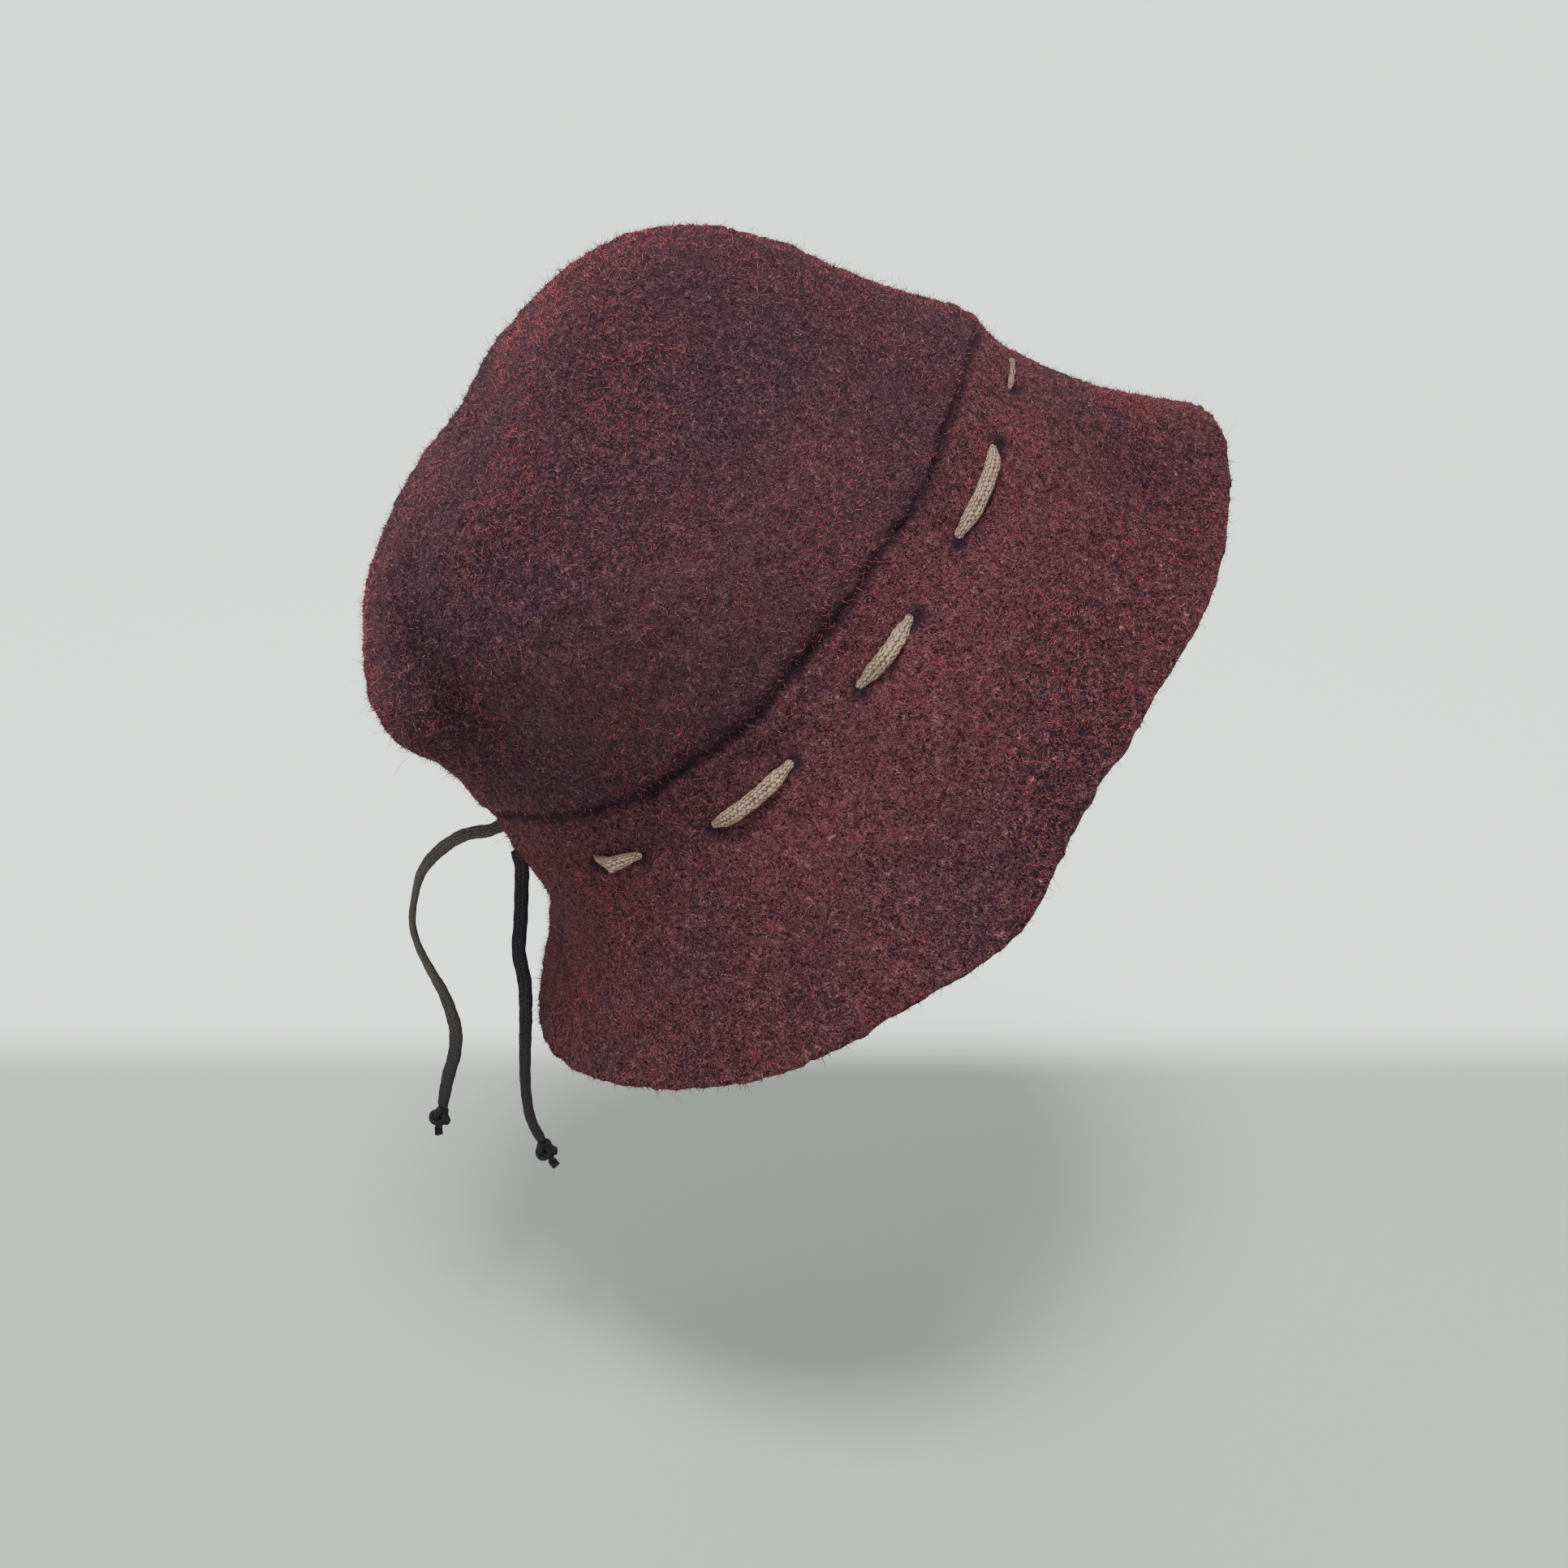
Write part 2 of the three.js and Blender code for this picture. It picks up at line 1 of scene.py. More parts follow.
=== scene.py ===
"""A soft felt hat with a flat drawcord laced round its band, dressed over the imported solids."""
import math

import bpy
import numpy as np
from bpy.props import FloatProperty, FloatVectorProperty, IntProperty, PointerProperty
from mathutils import Matrix


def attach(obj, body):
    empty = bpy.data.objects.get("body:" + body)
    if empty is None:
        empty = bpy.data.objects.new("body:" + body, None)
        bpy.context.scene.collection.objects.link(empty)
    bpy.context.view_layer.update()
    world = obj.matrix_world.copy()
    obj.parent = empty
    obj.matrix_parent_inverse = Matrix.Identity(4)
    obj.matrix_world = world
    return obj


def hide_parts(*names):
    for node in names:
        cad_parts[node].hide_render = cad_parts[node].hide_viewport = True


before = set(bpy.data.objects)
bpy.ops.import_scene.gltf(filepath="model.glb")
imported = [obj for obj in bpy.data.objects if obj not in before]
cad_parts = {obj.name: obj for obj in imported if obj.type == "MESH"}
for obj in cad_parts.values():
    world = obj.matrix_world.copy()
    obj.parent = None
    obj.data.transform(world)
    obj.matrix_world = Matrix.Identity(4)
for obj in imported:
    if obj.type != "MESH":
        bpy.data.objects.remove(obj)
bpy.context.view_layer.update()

bl_info = {
    "name": "Felt Hat with Drawcord",
    "version": (1, 0, 0),
    "blender": (4, 5, 0),
    "location": "3D View > Sidebar > Felt Hat",
    "description": "Builds a boiled wool hat, its laced cord, its ties and its stage",
    "category": "Add Mesh",
}

MM = 0.001
BODY = "root"

# The sizes of the hat's solids, in millimetres and degrees.
OVAL_LENGTH, OVAL_WIDTH = 206.0, 166.0
CROWN_HEIGHT, BAND_HEIGHT, BRIM_FALL, BRIM_FLARE = 88.0, 21.6, 75.0, 45.0
FELT_WALL, EDGE_ROUND = 3.0, 1.05
TILT_BACK, LEAN = 42.2, 3.2
SEAM_DIP = 15.0
GROOVE_DEPTH, GROOVE_WIDTH, LIP_RISE, LIP_OFFSET = 0.7, 1.4, 0.6, 3.6
DENT_DEPTH, FOLD_DEPTH = 6.0, 6.0
CORD_WIDTH, CORD_THICKNESS, LACE_DROP = 4.6, 2.4, 20.0
CORD_CLEARANCE, SLIT_REACH, EXIT_STUB, LACE_BOW = 0.55, 5.5, 3.0, 0.9
TIE_GAP, KNOT_WIDTH, KNOT_LENGTH = 0.3, 8.6, 14.0
# How far a tie goes on inside the felt above its first point, and inside the knot below its last.
TIE_ROOT, TIE_TIP = 1.6, 1.1

# Finer forms of the seam, in millimetres: a crease in the groove, a lap that closes the gap between crown
# and band, and waves up and down, which fade over a distance. Waves: share, number, start.
CREASE_DEPTH, CREASE_WIDTH, SEAM_LAP = 0.6, 0.7, 0.7
SEAM_WANDER, SEAM_REACH = 0.9, 5.0
SEAM_WAVES = ((0.55, 9, 0.7), (0.4, 17, 2.1), (0.25, 31, 0.0))
# The painted shade in the seam's groove: its width, its usual strength, and the noises that move it and
# make it stronger or weaker. Every table of noises has a share, a size in millimetres and a seed.
DARK_WIDTH, DARK_STRENGTH = 1.05, 0.85
DARK_WAVER, SEAM_SHADE_NOISES = ((0.6, 4.5, 31), (0.6, 2.1, 33)), ((0.35, 9.0, 37),)
# The crown's lip stands out more at the back, over a painted shadow on the band, and the band swells round
# the cord's two exits.
BACK_LIP, BACK_LIP_ANGLE, BACK_LIP_SPREAD, BACK_LIP_RISE, BACK_LIP_WIDTH = 1.5, 203.0, 14.0, 2.2, 1.7
BACK_SHADOW_DROP, BACK_SHADOW_WIDTH = 2.2, 1.4
EXIT_SWELL, EXIT_SWELL_ANGLE, EXIT_SWELL_SPREAD, EXIT_SWELL_HEIGHT = 3.2, 183.0, 10.0, 7.0
# The lumps of boiled wool, those that fray the brim's edge, and how far the noise is shifted for the inner
# face.
PEBBLES = ((0.5, 19.0, 3), (0.34, 7.5, 4), (0.4, 3.4, 5), (0.4, 2.2, 6))
FRAY, INNER_SHIFT = ((0.5, 2.4, 41), (0.6, 8.0, 43)), 40.0
# The felt faces level at the seam, and as its form does beyond this row or share down. The form's slope is
# read over a turn in degrees and a step, and no nearer to the top than a margin in rows.
LEVEL_ROWS, LEVEL_DOWN = 0.15, 0.032
SLOPE_TURN, SLOPE_STEP, SLOPE_MARGIN = 0.5, 0.01, 0.1

# The tables of the hat's solids: a row for each section, dent or fold. The brim's profile: shares down and
# out.
CROWN_COLUMNS = ("rise", "front", "back", "side")
CROWN_ROWS = np.array([
    (0.0, 1.0, 1.0, 1.0), (0.2, 0.895, 1.0, 1.03), (0.4, 0.814, 1.03, 1.03), (0.58, 0.76, 0.935, 0.97),
    (0.76, 0.644, 0.74, 0.83), (0.89, 0.514, 0.36, 0.62), (0.97, 0.369, 0.013, 0.38),
    (1.0, 0.202, -0.202, 0.0),
])
BRIM_PROFILE = np.array([(0.0, 0.0), (0.1, 0.01), (0.25, 0.08), (0.5, 0.3), (0.75, 0.62), (1.0, 1.0)])
ROUND_COLUMNS = ("angle", "seam", "fall", "flare", "lace")
ROUND_THE_HAT = np.array([
    (0, 0.05, 0.71, 0.76, 0.8), (30, -0.21, 0.74, 0.84, 0.82), (60, -0.53, 0.81, 0.84, 0.82),
    (90, -0.69, 0.86, 0.88, 0.84), (120, -0.55, 0.83, 0.95, 0.9), (150, -0.29, 0.76, 1.03, 0.93),
    (180, -0.21, 0.75, 1.02, 0.95), (210, -0.36, 0.85, 0.87, 0.94), (240, -1.08, 0.975, 0.78, 0.88),
    (255, -1.13, 0.987, 0.753, 0.842), (270, -1.01, 1.04, 0.72, 0.8), (285, -0.78, 0.885, 0.66, 0.78),
    (300, -0.52, 0.85, 0.59, 0.77), (330, 0.07, 0.84, 0.55, 0.79),
])
# Dents of the crown: angle, row, spread in degrees and in rows, share of the depth.
CROWN_DENTS = [
    (195, 4.5, 20, 0.4, -0.3), (202, 5.35, 16, 0.35, 0.7), (200, 6.2, 14, 0.3, -0.25),
    (199, 3.0, 10, 0.6, 0.2), (160, 4.65, 18, 0.2, -0.3), (140, 5.7, 16, 0.3, -0.3),
    (4, 2.9, 14, 0.6, 0.35), (205, 3.3, 6, 0.9, -0.4), (217, 3.8, 6, 0.45, 0.45), (221, 3.1, 6, 0.45, 0.65),
    (226, 2.4, 6.5, 0.45, 0.7), (227, 1.75, 7, 0.4, 0.7), (223, 1.2, 8, 0.35, 0.4),
    (237, 4.8, 13, 0.4, 0.4), (288, 4.6, 14, 0.5, 0.3), (280, 2.0, 24, 0.9, -0.25),
    (130, 4.2, 18, 0.6, 0.35), (60, 2.8, 20, 0.9, 0.25), (110, 1.6, 14, 0.6, 0.3),
]
# Folds of the brim: angle, share down, spread in degrees and in shares, share of the depth.
BRIM_FOLDS = [
    (340, 0.75, 9, 0.15, 0.9), (356, 1.0, 8, 0.16, -0.2), (316, 0.68, 8, 0.13, 0.4),
    (302, 0.8, 8, 0.13, 0.4), (293, 0.92, 8, 0.15, 0.5), (272, 0.96, 9, 0.15, 0.1),
    (284, 0.42, 22, 0.17, -0.6), (257, 0.9, 8, 0.2, -0.1), (188, 0.62, 16, 0.17, 1.0),
    (190, 0.93, 12, 0.13, -0.6), (150, 0.8, 11, 0.22, 0.4), (110, 0.95, 10, 0.2, -0.4),
    (85, 0.85, 10, 0.2, 0.45), (50, 0.95, 12, 0.2, -0.35), (24, 0.8, 10, 0.2, 0.2),
]
# Painted shade in the hollows and painted light on the bulges: angle, row or share down, its two spreads,
# tone, shade below 0 and light above.
CROWN_LIGHT_AND_SHADE = [
    (217, 3.8, 4, 0.5, -0.5), (221, 3.1, 5, 0.5, -0.7), (226, 2.4, 5, 0.5, -0.8), (227, 1.75, 5, 0.4, -0.8),
    (223, 1.2, 6, 0.35, -0.5), (207, 3.5, 4, 0.9, 0.5), (207, 0.18, 12, 0.12, 0.9), (206, 2.4, 6, 0.6, 0.5),
    (222, 5.0, 6, 0.5, 0.1), (288, 4.6, 14, 0.5, -0.3), (250, 4.2, 16, 0.8, -0.2),
    (285, 1.2, 24, 0.8, 0.65), (252, 1.3, 16, 0.6, 0.9), (330, 3.0, 16, 1.2, 0.1),
    (248, 3.3, 16, 0.8, -0.2),
]
BRIM_LIGHT_AND_SHADE = [
    (343, 0.73, 8, 0.16, -0.6), (333, 0.88, 7, 0.12, -0.4), (316, 0.7, 7, 0.14, -0.4),
    (302, 0.82, 7, 0.14, -0.5), (290, 0.88, 7, 0.12, -0.5), (273, 0.96, 9, 0.08, -0.3),
    (282, 0.36, 20, 0.18, 0.75), (258, 0.28, 12, 0.14, 0.6), (332, 0.22, 12, 0.15, 0.6),
    (198, 0.55, 11, 0.2, 1.0), (222, 0.85, 16, 0.16, -0.55), (290, 0.93, 8, 0.1, -0.2),
    (262, 0.38, 12, 0.14, 0.5), (279, 0.66, 7, 0.1, 0.5), (262, 0.9, 5, 0.1, 0.2),
]
# The cord's outer stretches: the angle where each comes out of the felt, and where it goes in.
STITCHES = [(144, 131), (118, 103), (89, 75), (60, 45), (29, 13), (352, 340), (321.5, 305), (289, 278),
            (261, 246), (228.5, 220.5)]
LEFT_EXIT, RIGHT_EXIT = 174, 187
# How the cord's ends leave the lacing: turn, way out and way down, as shares of the reach and the stub.
LEFT_STUB = [(0.35, 0, 0), (0.5, 1, 0)]
RIGHT_STUB = [(0.35, 0, 0.3), (0.5, 0.25, 1.6)]
# The ties' middles in millimetres, in the shared frame.
LEFT_TIE = np.array([
    (-83.1, 6.9, -73.3), (-87.3, 6.2, -74.8), (-91.5, 6.8, -75.4), (-96.6, 7.8, -77.2), (-104.2, 9, -82.8),
    (-109.7, 10, -89.8), (-112.6, 11, -98.8), (-114.2, 12, -109), (-112.9, 12, -117), (-109.8, 12, -125.5),
    (-105.9, 12, -134.8), (-103.8, 12, -142.5), (-102.8, 12, -149), (-103.6, 12, -157.6),
    (-106.4, 12, -166.8), (-108.7, 12, -176.5),
])
RIGHT_TIE = np.array([
    (-77.5, -8.3, -77.6), (-76.9, -7.9, -81.6), (-77.3, -8.8, -89), (-78.1, -10.6, -99.5),
    (-79.1, -12, -109), (-77.8, -12.5, -120), (-78, -13, -131), (-78.9, -13.5, -144.5),
    (-79.3, -14, -158.3), (-78.2, -14, -169.3), (-75.8, -14, -176),
])
# How the flat ties twist on their way down: share of the length, turn of the flat side in degrees.
LEFT_TWIST = np.array([
    (0, 35), (0.2, 30), (0.36, 78), (0.48, 74), (0.62, 45), (0.78, 8), (0.9, 15), (1, 40),
])
RIGHT_TWIST = np.array([(0, 0), (0.4, 6), (0.6, 30), (0.8, 48), (1, 50)])

# Where the slits are, in degrees, and on which side of each the cord lies outside the felt.
SLIT_ANGLES = np.array([LEFT_EXIT] + [a for pair in STITCHES for a in pair] + [RIGHT_EXIT], float)
SLIT_SIDES = np.array([1.0, -1.0] * (len(SLIT_ANGLES) // 2))
SLIT_HALF_LENGTH, SLIT_HALF_HEIGHT, SLIT_SLANT, SLANT_REACH = 2.2, 1.25, 1.5, 6.0
# A slit is round at its ends, because rows draw together there: how much, over what length, and how far up
# and down.
ROUNDING, ROUNDING_LENGTH, ROUNDING_REACH, ROUNDING_LIMIT = 0.5, 1.2, 2.2, 8
# Beside a slit the felt is pulled in and shaded by a painted shadow: how far along each is, its length,
# how far down and its height.
PULL, SLIT_SHADOW = (1.6, 3.0, 0.0, 2.6), (2.8, 2.5, 0.8, 2.2)
SLIT_SHADOW_GAIN, SLIT_SHADOW_LESS, SLIT_SHADOW_LEAST, SLIT_SHADOW_NOISES = 2.2, 0.5, 0.15, ((0.4, 2.6, 47),)
# The cord is squeezed where it goes through a slit, and pressed into the felt, most of all at the front,
# where it also sinks and is narrow. The felt's lumps are lower beside it.
SQUEEZE, SQUEEZE_REACH, PRESS, PRESS_WIDTH = 0.4, 1.8, 0.5, 3.3
FRONT_PRESS, FRONT_SINK, FRONT_NARROW = 1.0, 2.7, 0.55
FRONT_MIDDLE, FRONT_REACH = np.mean(STITCHES[5]), abs(np.diff(STITCHES[5])[0])
CALM, CALM_HEIGHT = 0.8, 3.0

# The crown's grid: columns, outer and inner spacing in millimetres, how near to the top it goes in rows,
# and the samples that its even rows are read from.
CROWN_SIDES, OUTER_SPACING, INNER_SPACING, TOP_GAP, ROW_SAMPLES = 400, 1.08, 4.5, 0.02, 500
# Rows of the brim above, across and below the slits, and how the upper ones crowd towards the seam.
ROWS_ABOVE, ROWS_ACROSS, ROWS_BELOW, ROW_CROWDING = 17, 5, 52, 1.4
# Columns in a slit, the others' spacing in millimetres, and the first one's angle.
HOLE_COLUMNS, COLUMN_SPACING, FIRST_COLUMN = 6, 1.3, 5.0
# The brim's edge is rounded through these angles, in degrees from the outer face to the inner one.
EDGE_TURNS = (38.0, 90.0, 142.0)
# The cord's section, its plaits and the waver of its width, and the steps along the lacing, a tie and a
# knot.
CORD_SIDES, CORD_SQUARENESS, PLAITS, PLAIT_LENGTH, PLAIT_RIPPLE, CORD_WAVER = 32, 0.75, 8, 2.9, 0.03, 0.9
LACE_STEP, TIE_STEP, KNOT_STEP = 0.6, 0.45, 0.35
# The knot's cord is narrower than the tie's. Where the knot's middle is, and where its turn starts and how
# much of a whole one it is. The cord's way into the knot and out of it: aside, deep and down.
KNOT_CORD, KNOT_CORD_HALF, KNOT_MIDDLE = 0.62, 1.35, 5.3
KNOT_FROM, KNOT_TURN, KNOT_POINTS = 0.9, 0.9, 16
KNOT_IN = ((0, 0, 0.9), (0.2, 0.3, 2.0))
KNOT_OUT = ((0.2, 0.6, 10.2), (0.7, 0.4, KNOT_LENGTH - 1.4))
# The two ties: word, middle line, twist and length in metres.
TIES = (("left", LEFT_TIE, LEFT_TWIST, 0.125), ("right", RIGHT_TIE, RIGHT_TWIST, 0.099))
# Kinds of loose fibre: what the number is divided by, shares of the length and of the radius, rings.
FIBRE_KINDS = ((1, 0.95, 2.0, 1), (12, 1.3, 1.1, 3), (45, 2.6, 0.9, 5))
# The spread of their lengths, the lift in degrees, how deep a root lies, and ranges of their curls: turns,
# sway, arch.
FIBRE_SPREAD, FIBRE_LIFT, ROOT_DEPTH = 0.36, (4, 66), 0.3
CURL_PACE, CURL_SWAY, CURL_ARCH, FIBRE_TAPER = (3.0, 8.0), (0.03, 0.16), (-0.4, 0.4), 0.4
# Fewer fibres grow where the seam or a slit has painted shade, and more on the brim's edge.
FUZZ_THINS, EDGE_FUZZ = 1.6, 2.5

# The wool's tangle of fibres: how far each warped noise is shifted, and its scale. How thin its strands and
# its single pale fibres are, how strong the seam's painted shade gets, and the share of that painted shade
# on the brim's inner face.
TANGLE = (((0.0, 0.0, 0.0), 490.0), ((0.31, 0.17, 0.05), 660.0), ((0.11, 0.43, 0.29), 850.0))
STRAND_THIN, FIBRE_THIN, SEAM_DARKNESS, INNER_DARKNESS = 8, 26, 0.85, 0.6
# The braid: columns of stitches across the cord, and a stitch's length in millimetres.
BRAID_COLUMNS, STITCH_LENGTH, GAP_SHARE = 14, 1.5, 0.4
# Where the ties' painted shade deepens, and where the laced cord takes on the ties' painted shade at its two
# ends: start and width in millimetres.
TIE_DARKENS, LACE_START, LACE_END = (55.0, 70.0), (6.0, -6.0), (-12.0, 6.0)

# The studio: the eye, the lens and the sensor's width, and the way the camera looks.
EYE = (-0.0520, -0.5494, 0.1562)
LENS, SENSOR = 42.857, 36.0
AZIMUTH, ELEVATION = -6.1, 21.4
# The floor's height and its rows, how far ahead it ends, the bend up to the wall and its steps, and half
# the width and the wall's height.
FLOOR, FLOOR_ROWS, WALL_NEAR = -0.272, (-3.5, -1.0, -0.3, 0.0), 0.9
WALL_BEND, BEND_STEPS, WALL_SIDE, WALL_HEIGHT = 0.35, 17, 4.0, 3.5
# Where the floor's greyer tone gives way to the wall's, ahead of the origin, and how softly. The wall's own
# light.
TONE_EDGE, TONE_BLEND = 0.208, 0.03
WALL_SHARE, WALL_GLOW = 0.4, 1.45
# Lamps: name, place, size, power and tint. The light from all round has a tint and a strength.
LAMPS = (
    ("key", (-0.1, -0.75, 1.9), 0.6, 62.0, (1.0, 0.98, 0.96)),
    ("fill", (-0.7, -1.9, -0.05), 1.4, 32.0, (0.84, 0.93, 1.0)),
    ("side", (-1.8, -0.3, 0.9), 1.2, 4.0, (1.0, 1.0, 1.0)),
)
WORLD_TINT, WORLD_STRENGTH = (0.82, 0.9, 0.87, 1.0), 0.42


# The shape of the felt

def along(table_x, table_y, at):
    """Cubic Hermite curve through a table. A slope inside is the mean of the two chords beside it, each
    weighted by the length of the other, and at an end it is the end's own chord."""
    p, v = np.asarray(table_x, float), np.asarray(table_y, float)
    h = np.diff(p)
    chord = np.diff(v) / h
    inner = (chord[:-1] * h[1:] + chord[1:] * h[:-1]) / (h[:-1] + h[1:])
    slope = np.concatenate([chord[:1], inner, chord[-1:]])
    at = np.asarray(at, float)
    i = np.clip(np.searchsorted(p, at, side="right") - 1, 0, len(p) - 2)
    q = (at - p[i]) / h[i]
    q2, q3 = q * q, q * q * q
    start = (2 * q3 - 3 * q2 + 1) * v[i] + (q3 - 2 * q2 + q) * h[i] * slope[i]
    return start + (3 * q2 - 2 * q3) * v[i + 1] + (q3 - q2) * h[i] * slope[i + 1]


def around(column, degrees):
    """A column of the table that goes round the hat, repeated before and after so that the front is
    smooth."""
    k = ROUND_COLUMNS.index(column)
    places = np.concatenate([ROUND_THE_HAT[:, 0] + turn for turn in (-360, 0, 360)])
    return along(places, np.tile(ROUND_THE_HAT[:, k], 3), np.mod(degrees, 360.0))


def crown_column(column, row):
    """A column of the crown's table. Past the top it is mirrored, front for back, so that the top is
    round."""
    rise, front, back, side = CROWN_ROWS[-2]
    rows = np.vstack([CROWN_ROWS, (rise, -back, -front, -side)])
    return along(np.arange(len(rows)), rows[:, CROWN_COLUMNS.index(column)], row)


def bell(distance, width):
    """A bell curve that is 1 at 0 and 0.6 at its width."""
    return np.exp(-0.5 * (np.asarray(distance) / width) ** 2)


def turn_between(a, b):
    """The turn from b to a in degrees, from -180 to 180."""
    return np.mod(a - b + 180.0, 360.0) - 180.0


def turn_bell(angle, centre, spread):
    """A bell curve round the hat."""
    return bell(turn_between(angle, centre), spread)


def unit(v):
    return v / np.maximum(np.linalg.norm(v, axis=-1, keepdims=True), 1e-12)


def square_to(v, axis):
    """Unit vectors: the part of each v that is square to its axis."""
    return unit(v - axis * np.einsum("ij,ij->i", v, axis)[:, None])


def way_along(line):
    """How far along a line of points each one is."""
    return np.concatenate([[0], np.cumsum(np.linalg.norm(np.diff(line, axis=0), axis=1))])


def outward(angle):
    """The level direction straight out of the oval."""
    a = np.radians(angle)
    return unit(np.stack([np.cos(a) * OVAL_WIDTH, np.sin(a) * OVAL_LENGTH, np.zeros_like(a)], axis=-1))


def seam_height(angle):
    return BAND_HEIGHT + SEAM_DIP * around("seam", angle)


def brim_height(angle):
    """The whole way from the seam down to the brim's edge."""
    return seam_height(angle) + BRIM_FALL * around("fall", angle)


def seam_relief(distance):
    """A groove at the seam, narrow in its depth, and a lip beside it, all bell curves of the distance from
    it."""
    groove = GROOVE_DEPTH * bell(distance, GROOVE_WIDTH) + CREASE_DEPTH * bell(distance, CREASE_WIDTH)
    return LIP_RISE * bell(distance - LIP_OFFSET, GROOVE_WIDTH) - groove


def seam_wander(angle, distance):
    """The seam's small waves up and down: three sines round the hat, which fade with the distance from
    it."""
    a = np.radians(angle)
    waves = sum(share * np.sin(number * a + start) for share, number, start in SEAM_WAVES)
    return SEAM_WANDER * waves * bell(distance, SEAM_REACH)


def seam_shade(points, distance):
    """The seam's painted shade: a bell curve of the distance, whose middle and strength waver by noise."""
    strength = DARK_STRENGTH + noises(points, SEAM_SHADE_NOISES)
    return bell(distance + noises(points, DARK_WAVER), DARK_WIDTH) * strength


def crown_form(angle, row):
    """Rings whose reach to the front, back and sides comes from the crown's table, and whose height rises
    by it. The dip of the seam fades out half way up."""
    a = np.radians(angle)
    front, back, rise = (crown_column(c, row) for c in ("front", "back", "rise"))
    x = OVAL_LENGTH / 2 * ((front - back) / 2 + (front + back) / 2 * np.cos(a))
    y = OVAL_WIDTH / 2 * crown_column("side", row) * np.sin(a)
    dip = (seam_height(angle) - BAND_HEIGHT) * np.maximum(1 - 2 * rise, 0) ** 2
    z = BAND_HEIGHT + CROWN_HEIGHT * rise + dip
    return np.stack(np.broadcast_arrays(x, y, z), axis=-1)


def brim_form(angle, down):
    """The oval, moved out by the brim's flare and down from the seam to the edge."""
    angle, down = np.broadcast_arrays(np.asarray(angle, float), np.asarray(down, float))
    a = np.radians(angle)
    out = along(BRIM_PROFILE[:, 0], BRIM_PROFILE[:, 1], down) * BRIM_FLARE * around("flare", angle)
    oval = np.stack([OVAL_LENGTH / 2 * np.cos(a), OVAL_WIDTH / 2 * np.sin(a), np.zeros_like(a)], axis=-1)
    point = oval + outward(angle) * out[..., None]
    point[..., 2] = seam_height(angle) * (1 - down) - BRIM_FALL * around("fall", angle) * down
    return point


def felt_normal(form, angle, place, level, most):
    """The direction straight out of the felt: its form's slope round the hat crossed with the slope along
    the place, turned away from the hat's middle. At the seam it is level."""
    across = form(angle + SLOPE_TURN, place) - form(angle - SLOPE_TURN, place)
    low, high = np.maximum(place - SLOPE_STEP, 0), np.minimum(place + SLOPE_STEP, most)
    slope = unit(np.cross(across, form(angle, high) - form(angle, low))) * (1 if form is crown_form else -1)
    share = np.clip(place / level, 0, 1)[..., None]
    return unit(outward(angle) * (1 - share) + slope * share)


def crown_normal(angle, row):
    top = len(CROWN_ROWS) - 1
    return felt_normal(crown_form, angle, np.minimum(row, top - SLOPE_MARGIN), LEVEL_ROWS, top)


def brim_normal(angle, down):
    return felt_normal(brim_form, angle, down, LEVEL_DOWN, 1.0)


def wool_noise(points, size, seed):
    """Smooth noise from -1 to 1: random values on a cubic lattice of that size, blended by a smooth step
    between the eight corners round each point."""
    q = points / size + 517.3
    cell = np.floor(q).astype(np.int64)
    f = q - cell
    f = f * f * (3 - 2 * f)
    total = np.zeros(points.shape[:-1])
    for dx, dy, dz in ((i, j, k) for i in (0, 1) for j in (0, 1) for k in (0, 1)):
        h = (cell[..., 0] + dx) * 73856093 ^ (cell[..., 1] + dy) * 19349663 ^ (cell[..., 2] + dz) * 83492791
        h = ((h ^ (seed * 7919)) & 0x7fffffff) * 1103515245 & 0x7fffffff
        h = ((h >> 11) ^ h) * 668265263 & 0x7fffffff
        weight = 1.0
        for part, d in zip((f[..., 0], f[..., 1], f[..., 2]), (dx, dy, dz)):
            weight = weight * (part if d else 1 - part)
        total += weight * ((h >> 8 & 0xffff) / 32767.5 - 1)
    return total


def noises(points, table):
    """The sum of a table of noises, each times its share."""
    return sum(share * wool_noise(points, size, seed) for share, size, seed in table)


def dents(angle, place, table):
    """Sums the bells of a table of dents or folds: one bell round the hat times one along the place."""
    depth = np.zeros(np.broadcast(angle, place).shape)
    for at, row, spread, rows, share in table:
        depth = depth + share * turn_bell(angle, at, spread) * bell(place - row, rows)
    return depth


def light_and_shade(angle, place, table):
    """The painted light and shade: the sum of the table's bells, kept between -1 and 1, shade below 0."""
    return np.clip(dents(angle, place, table), -1, 1)


def crown_point(angle, row, wall, pebble):
    """The crown's face: its form, moved along its normal by the dents, the seam's relief, the lip at the
    back and the pebbles. With a wall it is the inner face, which has the dents and its own pebbles."""
    form = crown_form(angle, row)
    depth = -DENT_DEPTH * dents(angle, row, CROWN_DENTS)
    rise = CROWN_HEIGHT * crown_column("rise", row)
    lip = BACK_LIP * at_back(angle) * bell(rise - BACK_LIP_RISE, BACK_LIP_WIDTH)
    depth = depth - wall if wall else depth + seam_relief(rise) + lip
    depth = depth + pebble * noises(form + (INNER_SHIFT if wall else 0.0), PEBBLES)
    point = form + crown_normal(angle, row) * depth[..., None]
    point[..., 2] += seam_wander(angle, rise) - SEAM_LAP / 2 * (row == 0)
    return point


